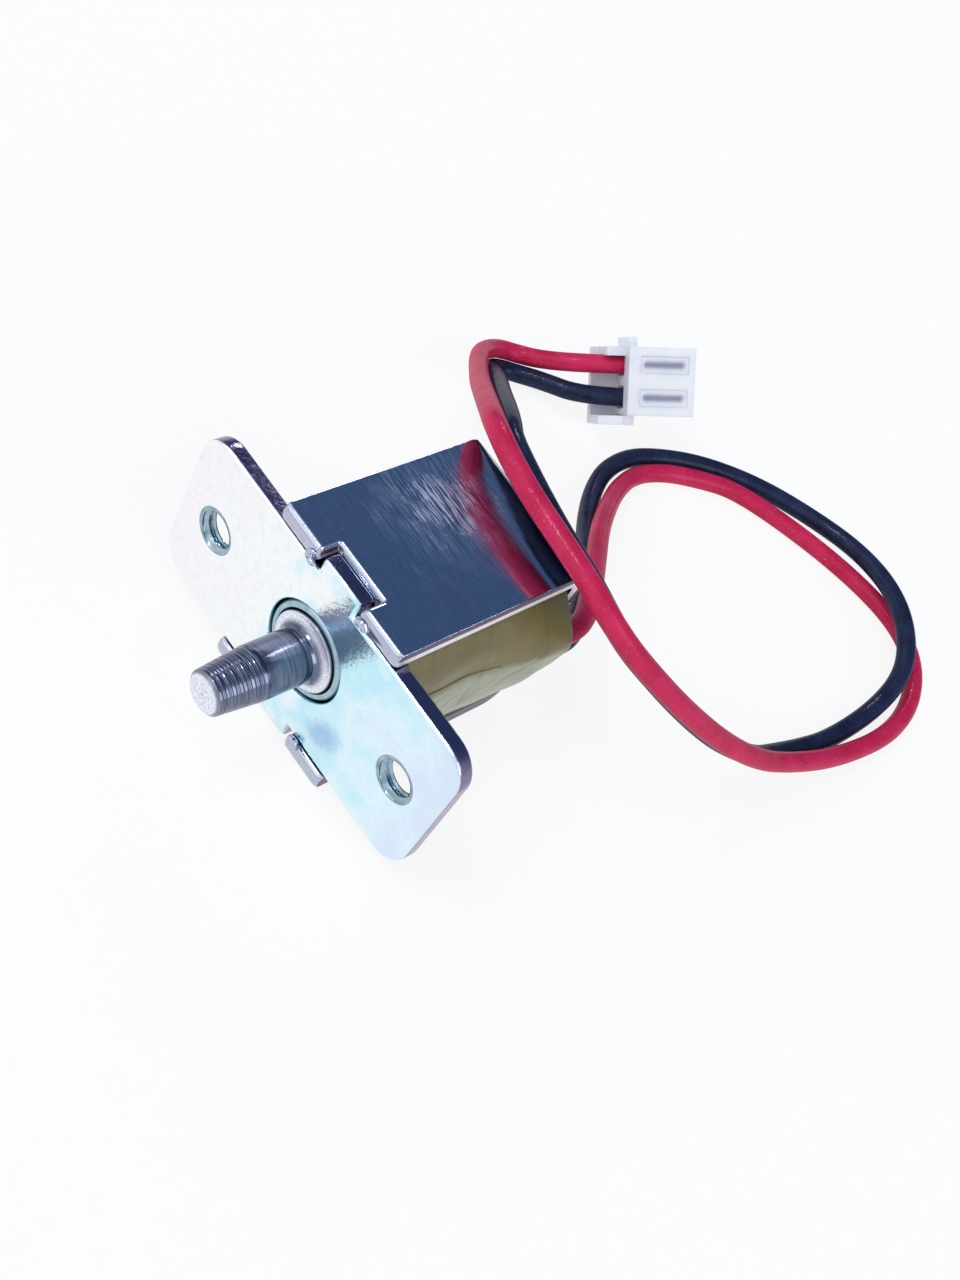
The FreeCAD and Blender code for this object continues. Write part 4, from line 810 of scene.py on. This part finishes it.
# Plug: natural nylon two-way housing, injection moulded, with a collar, a cradle for the wires and a long
# latch window over each contact. It has dropped on the table and rolled on its cradle's edge.
PLUG_PLACE, PLUG_HEADING, PLUG_RISE, PLUG_ROLL = (-11.64, 41.11, -2.94), 57.3, 14.8, 44.5
PLUG_TOP, PLUG_PITCH = 2.2, 2.5
LATCH_START, LATCH_LENGTH, LATCH_HALF_WIDTH = 0.95, 3.8, 0.65
WEB_THICK, WEB_SUNK, WEB_RIM, WEB_SLOPE = 0.3, 0.05, 0.1, 0.45
GROOVE_DEPTH, GROOVE_WIDTH = 0.34, 0.26


def translucent_nylon():
    """Natural nylon, thin-walled: milky, with light coming through, slightly lavender at its thick places.

    The attribute "thin" darkens the groove of a latch web, through which the contact shows.
    """
    material, tree, point = new_material("translucent natural nylon")
    cloud = node(tree, "TexNoise", {"Vector": point, "Scale": 0.6, "Detail": 3.0})
    milk = node(tree, "ValToRGB", {"Fac": cloud}, stops=((0.3, "#EEF1FC"), (0.7, "#FAFBFF")))
    thin = node(tree, "Attribute", out="Fac", attribute_name="thin")
    colour = node(tree, "Mix", {0: thin, 6: milk, 7: "#9C9CB4"}, 2, data_type="RGBA")
    grain = node(tree, "TexNoise", {"Vector": point, "Scale": 5.0, "Detail": 2.0})
    bump = node(tree, "Bump", {"Height": grain, "Distance": 0.012 * MM})
    shader = node(tree, "BsdfPrincipled", {
        "Base Color": colour, "Roughness": 0.38, "IOR": 1.53, "Subsurface Weight": 0.35,
        "Subsurface Scale": 0.8 * MM, "Subsurface Radius": (1.0, 0.95, 1.0), "Transmission Weight": 0.10,
        "Normal": bump,
    })
    node(tree, "OutputMaterial", {"Surface": shader})
    return material


def at_plug(points):
    """Points drawn with X towards the plug's mating end, turned and moved to where the plug lies."""
    yaw, pitch, roll = np.radians((PLUG_HEADING, -PLUG_RISE, PLUG_ROLL))
    about_z = np.array([(np.cos(yaw), -np.sin(yaw), 0), (np.sin(yaw), np.cos(yaw), 0), (0, 0, 1)])
    about_y = np.array([(np.cos(pitch), 0, np.sin(pitch)), (0, 1, 0), (-np.sin(pitch), 0, np.cos(pitch))])
    about_x = np.array([(1, 0, 0), (0, np.cos(roll), -np.sin(roll)), (0, np.sin(roll), np.cos(roll))])
    return points @ (about_z @ about_y @ about_x).T + PLUG_PLACE


def latch_web(name, side, material):
    """A thin web of nylon in a latch window, dipped in a soft groove over the contact.

    Its top lies 0.05 + 0.34 g(x, y) mm below the housing's, with g = exp(-(y / 0.26)^2) times a smooth step
    at each end, and its underside 0.3 mm lower. The attribute "thin" is g.
    """
    x = LATCH_START + spaced(0.0, (LATCH_LENGTH, 60))[:, None]
    y = np.linspace(-LATCH_HALF_WIDTH, LATCH_HALF_WIDTH, 27)[None, :]
    from_end = np.minimum(x - LATCH_START, LATCH_START + LATCH_LENGTH - x)
    ends = np.clip((from_end - WEB_RIM) / WEB_SLOPE, 0, 1)
    groove = np.exp(-(y / GROOVE_WIDTH) ** 2) * ends * ends * (3 - 2 * ends)
    top = PLUG_TOP - WEB_SUNK - GROOVE_DEPTH * groove
    upper = np.stack([x + 0 * y, side + y + 0 * x, top], axis=-1)
    lower = upper[:, ::-1] - (0, 0, WEB_THICK)
    rings = close_ends(np.concatenate([upper, lower], axis=1))
    thin = np.concatenate([groove, groove[:, ::-1]], axis=1)
    thin = np.concatenate([thin[:1], thin, thin[-1:]])
    shape = at_plug(rings), grid_faces(*rings.shape[:2], closed_columns=True)
    finished_mesh(name, shape, material, "frame", "nylon", thin=thin)


nylon = translucent_nylon()
dress("connector_housing", nylon, 0.22)
latch_web("latch_web_red", -PLUG_PITCH / 2, nylon)
latch_web("latch_web_black", PLUG_PITCH / 2, nylon)

# Tinned brass, pressed, is a soft grey-white metal with a trace of brass where the die cut it.
tinned_brass = figured("tinned pressed brass", "TexNoise", {"Scale": 1.6, "Detail": 4.0},
                       ((0.35, "#8B8B92"), (0.62, "#77756F")), 0.32, 0.02)
for name in ("contact_red", "contact_black"):
    dress(name, tinned_brass, 0.05)


# The two leads: stranded copper in limp PVC, 1.45 mm over the insulation. They come out of the tape beside
# the rear wall, circle on the table, pass over the yoke and fold at the plug. Points are in mm, and z is
# -6.525 where a lead lies on the table.
LEAD_DIAMETER = 1.45
RED_ROUTE = (
    (5.65, 8.5, 2.4), (5.65, 10.5, 2.4), (6.8, 13.3, 2.95), (6.8, 16.2, 2.75), (4.4, 20.1, 1.4),
    (2.1, 23.7, -0.2), (-0.6, 28.0, -2.3), (-2.8, 32.3, -4.4), (-4.7, 36.5, -6.0), (-5.4, 39.6, -6.525),
    (-4.6, 42.5, -6.525), (-2.9, 45.2, -6.525), (-0.8, 47.8, -6.525), (4.6, 50.3, -6.525),
    (10.2, 52.0, -6.525), (15.0, 52.4, -6.525), (18.4, 50.9, -6.525), (20.9, 47.5, -6.525),
    (22.0, 42.6, -6.4), (21.2, 35.5, -5.6), (19.6, 29.1, -3.9), (18.4, 25.3, -2.0), (16.7, 21.8, 0.2),
    (14.5, 18.2, 3.0), (12.6, 15.7, 5.2), (10.8, 13.7, 7.1), (9.0, 12.65, 8.4), (7.0, 12.45, 9.05),
    (4.05, 12.6, 9.3), (0.75, 12.8, 9.45), (-1.9, 13.3, 9.5), (-4.7, 14.3, 9.35), (-6.8, 16.6, 7.6),
    (-9.6, 20.1, 4.7), (-12.7, 24.0, 1.5), (-16.0, 28.5, -1.9), (-17.9, 31.0, -3.4),
    (-18.8, 33.05, -4.4), (-19.1, 35.1, -5.2), (-18.2, 36.8, -5.5), (-16.6, 37.5, -4.65),
    (-14.078, 38.963, -2.859), (-11.884, 42.38, -1.786),
)
BLACK_ROUTE = (
    (5.65, 8.5, 0.8), (5.65, 10.5, 0.8), (6.5, 13.2, 1.25), (6.7, 16.3, 1.0), (4.4, 20.2, -0.3),
    (2.2, 23.7, -1.9), (-0.6, 27.7, -4.1), (-3.1, 31.2, -5.8), (-5.4, 34.5, -6.525), (-6.7, 37.1, -6.525),
    (-7.0, 40.0, -6.525), (-6.2, 42.8, -6.525), (-4.1, 46.6, -6.525), (-0.5, 50.3, -6.525),
    (4.0, 52.7, -6.3), (8.8, 53.4, -5.4), (13.2, 52.0, -4.4), (16.7, 49.5, -4.2), (19.0, 47.1, -5.2),
    (19.8, 43.5, -6.525), (19.8, 37.5, -6.525), (19.2, 34.2, -6.3), (18.6, 31.1, -5.6), (18.2, 28.5, -4.7),
    (17.4, 25.85, -3.15), (16.0, 23.1, -1.5), (13.92, 19.65, 1.3), (11.95, 17.05, 3.7),
    (10.4, 15.0, 5.7), (8.5, 13.95, 7.15), (6.3, 13.75, 8.0), (3.3, 13.95, 8.25), (0.5, 14.55, 8.25),
    (-2.0, 15.25, 8.2), (-4.2, 16.1, 8.0), (-5.6, 17.55, 7.35), (-7.47, 19.75, 5.75), (-10.1, 23.0, 3.15),
    (-12.87, 26.75, 0.2), (-15.7, 30.4, -2.95), (-17.4, 32.4, -5.2), (-18.2, 34.3, -6.1),
    (-17.4, 35.9, -6.4), (-15.4, 37.0, -5.6), (-12.336, 38.376, -4.553), (-10.142, 41.793, -3.481),
)


def soft_pvc(name, shade, tint, speck):
    """Extruded PVC insulation: coloured through, with a fine orange peel of 0.3 mm and a weak waxy gloss.

    The strands inside press a faint long wave through it, and tiny pale flecks are painted glints.
    """
    material, tree, point = new_material(name)
    cloud = node(tree, "TexNoise", {"Vector": point, "Scale": 0.5, "Detail": 2.0})
    base = node(tree, "ValToRGB", {"Fac": cloud}, stops=((0.3, shade), (0.7, tint)))
    fine = node(tree, "TexNoise", {"Vector": point, "Scale": 8.0, "Detail": 2.0})
    # Painted glints: tiny pale flecks in the last colour.
    fleck = node(tree, "ValToRGB", {"Fac": fine}, stops=((0.66, 0.0), (0.76, 0.3)))
    colour = node(tree, "Mix", {0: fleck, 6: base, 7: speck}, 2, data_type="RGBA")
    peel = node(tree, "TexNoise", {"Vector": point, "Scale": 3.5, "Detail": 2.0})
    waves = node(tree, "Bump", {"Height": cloud, "Distance": 0.05 * MM})
    bump = node(tree, "Bump", {"Height": peel, "Distance": 0.03 * MM, "Normal": waves})
    shader = node(tree, "BsdfPrincipled", {"Base Color": colour, "Roughness": 0.5, "Specular IOR Level": 0.0,
                                           "Coat Weight": 0.30, "Coat Roughness": 0.16, "Normal": bump,
                                           "Coat Normal": bump})
    node(tree, "OutputMaterial", {"Surface": shader})
    return material


def lay_lead(name, route, material, cad_node):
    """A round NURBS tube of order 3 whose control points are the route."""
    curve = bpy.data.curves.new(name, "CURVE")
    curve.dimensions = "3D"
    curve.bevel_depth = LEAD_DIAMETER / 2 * MM
    curve.bevel_resolution = 6
    curve.use_fill_caps = True
    spline = curve.splines.new("NURBS")
    spline.points.add(len(route) - 1)
    places = np.column_stack([np.array(route) * MM, np.ones(len(route))])
    spline.points.foreach_set("co", places.ravel())
    spline.order_u = 3
    spline.use_endpoint_u = True
    spline.resolution_u = 10
    curve.materials.append(material)
    lead = bpy.data.objects.new(name, curve)
    bpy.context.scene.collection.objects.link(lead)
    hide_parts(cad_node)
    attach(lead, "frame")


# The last colour of each lead is its painted glints.
red_pvc = soft_pvc("red PVC insulation", "#B81F46", "#CC2B58", "#F0B8D0")
black_pvc = soft_pvc("black PVC insulation", "#1A2038", "#262E4C", "#8E9CC0")
lay_lead("lead_red_insulation", RED_ROUTE, red_pvc, "lead_red")
lay_lead("lead_black_insulation", BLACK_ROUTE, black_pvc, "lead_black")


# The table: a white sheet that the electromagnet lies on. It looks white to the camera and in the metal, and
# keeps the object's soft shadow.
def white_sheet():
    """White paper sheet, lit by the lamps, with a part of its own white added for the camera's rays."""
    material, tree, point = new_material("white paper sheet")
    pulp = node(tree, "TexNoise", {"Vector": point, "Scale": 0.9, "Detail": 2.0})
    colour = node(tree, "ValToRGB", {"Fac": pulp}, stops=((0.3, "#F4F4F5"), (0.7, "#F8F8F9")))
    matt = node(tree, "BsdfPrincipled", {"Base Color": colour, "Roughness": 0.9, "Specular IOR Level": 0.1})
    seen = node(tree, "LightPath", out="Is Camera Ray")
    mirrored = node(tree, "LightPath", out="Is Glossy Ray")
    through = node(tree, "LightPath", out="Is Transmission Ray")
    shown = node(tree, "Math", {0: seen, 1: mirrored}, operation="MAXIMUM")
    shown = node(tree, "Math", {0: shown, 1: through}, operation="MAXIMUM")
    share = node(tree, "Math", {0: shown, 1: 0.86}, operation="MULTIPLY")
    white = node(tree, "Emission", {"Color": (1, 1, 1, 1), "Strength": 1.0})
    both = node(tree, "MixShader", {0: share, 1: matt, 2: white})
    node(tree, "OutputMaterial", {"Surface": both})
    return material


TABLE, REACH = -7.25, 2000.0
sheet_corners = REACH * np.array([(-1, -1, 0), (1, -1, 0), (1, 1, 0), (-1, 1, 0)]) + (0, 0, TABLE)
sheet_mesh = bpy.data.meshes.new("floor")
sheet_mesh.from_pydata((sheet_corners * MM).tolist(), [], [(0, 1, 2, 3)])
sheet_mesh.materials.append(white_sheet())
sheet = bpy.data.objects.new("floor", sheet_mesh)
bpy.context.scene.collection.objects.link(sheet)


# The light: a wide soft lamp high in front and a small one within it, a small one behind and a soft one on
# the right. The room is bright in front and dusky blue high up behind, which is what the yoke's top shows.
LOOKED_AT = (0, 0.01, 0)


def soft_lamp(name, place, aim, size, watts, colour):
    """A square area lamp that points from its place to its aim, both in metres."""
    data = bpy.data.lights.new(name, "AREA")
    data.size = size
    data.energy = watts
    data.color = colour
    lamp = bpy.data.objects.new(name, data)
    back = np.array(place) - np.array(aim)
    back = back / np.linalg.norm(back)
    side = np.cross((0, 0, 1), back)
    side = side / np.linalg.norm(side)
    up = np.cross(back, side)
    turned = np.eye(4)
    turned[:3] = np.column_stack([side, up, back, place])
    lamp.matrix_world = turned.T.tolist()
    bpy.context.scene.collection.objects.link(lamp)


soft_lamp("wide lamp", (-0.35, -0.55, 0.80), LOOKED_AT, 1.4, 3.6, (1.0, 0.99, 0.97))
soft_lamp("front lamp", (-0.20, -0.30, 0.68), LOOKED_AT, 0.12, 0.9, (1.0, 1.0, 1.0))
soft_lamp("back lamp", (-0.50, 0.48, 0.40), LOOKED_AT, 0.15, 0.8, (1.0, 1.0, 1.0))
soft_lamp("side lamp", (0.7, 0.05, 0.4), LOOKED_AT, 0.5, 1.6, (0.95, 0.97, 1.0))

world = bpy.data.worlds.new("room")
world.use_nodes = True
room = world.node_tree
room.nodes.clear()
direction = node(room, "TexCoord", out="Generated")
upward = node(room, "VectorMath", {0: direction, 1: (-0.26, 0.63, 0.73)}, "Value", operation="DOT_PRODUCT")
sky = node(room, "ValToRGB", {"Fac": upward},
           stops=((0.0, "#EEF1F6"), (0.42, "#C4CEDD"), (0.70, "#5D7899"), (1.0, "#4B6688")))
plain = node(room, "LightPath", out="Is Camera Ray")
seen = node(room, "Mix", {0: plain, 6: sky, 7: (1.0, 1.0, 1.0, 1.0)}, 2, data_type="RGBA")
node(room, "OutputWorld", {"Surface": node(room, "Background", {"Color": seen, "Strength": 1.0})})
bpy.context.scene.world = world

bpy.context.scene.view_settings.view_transform = "Standard"
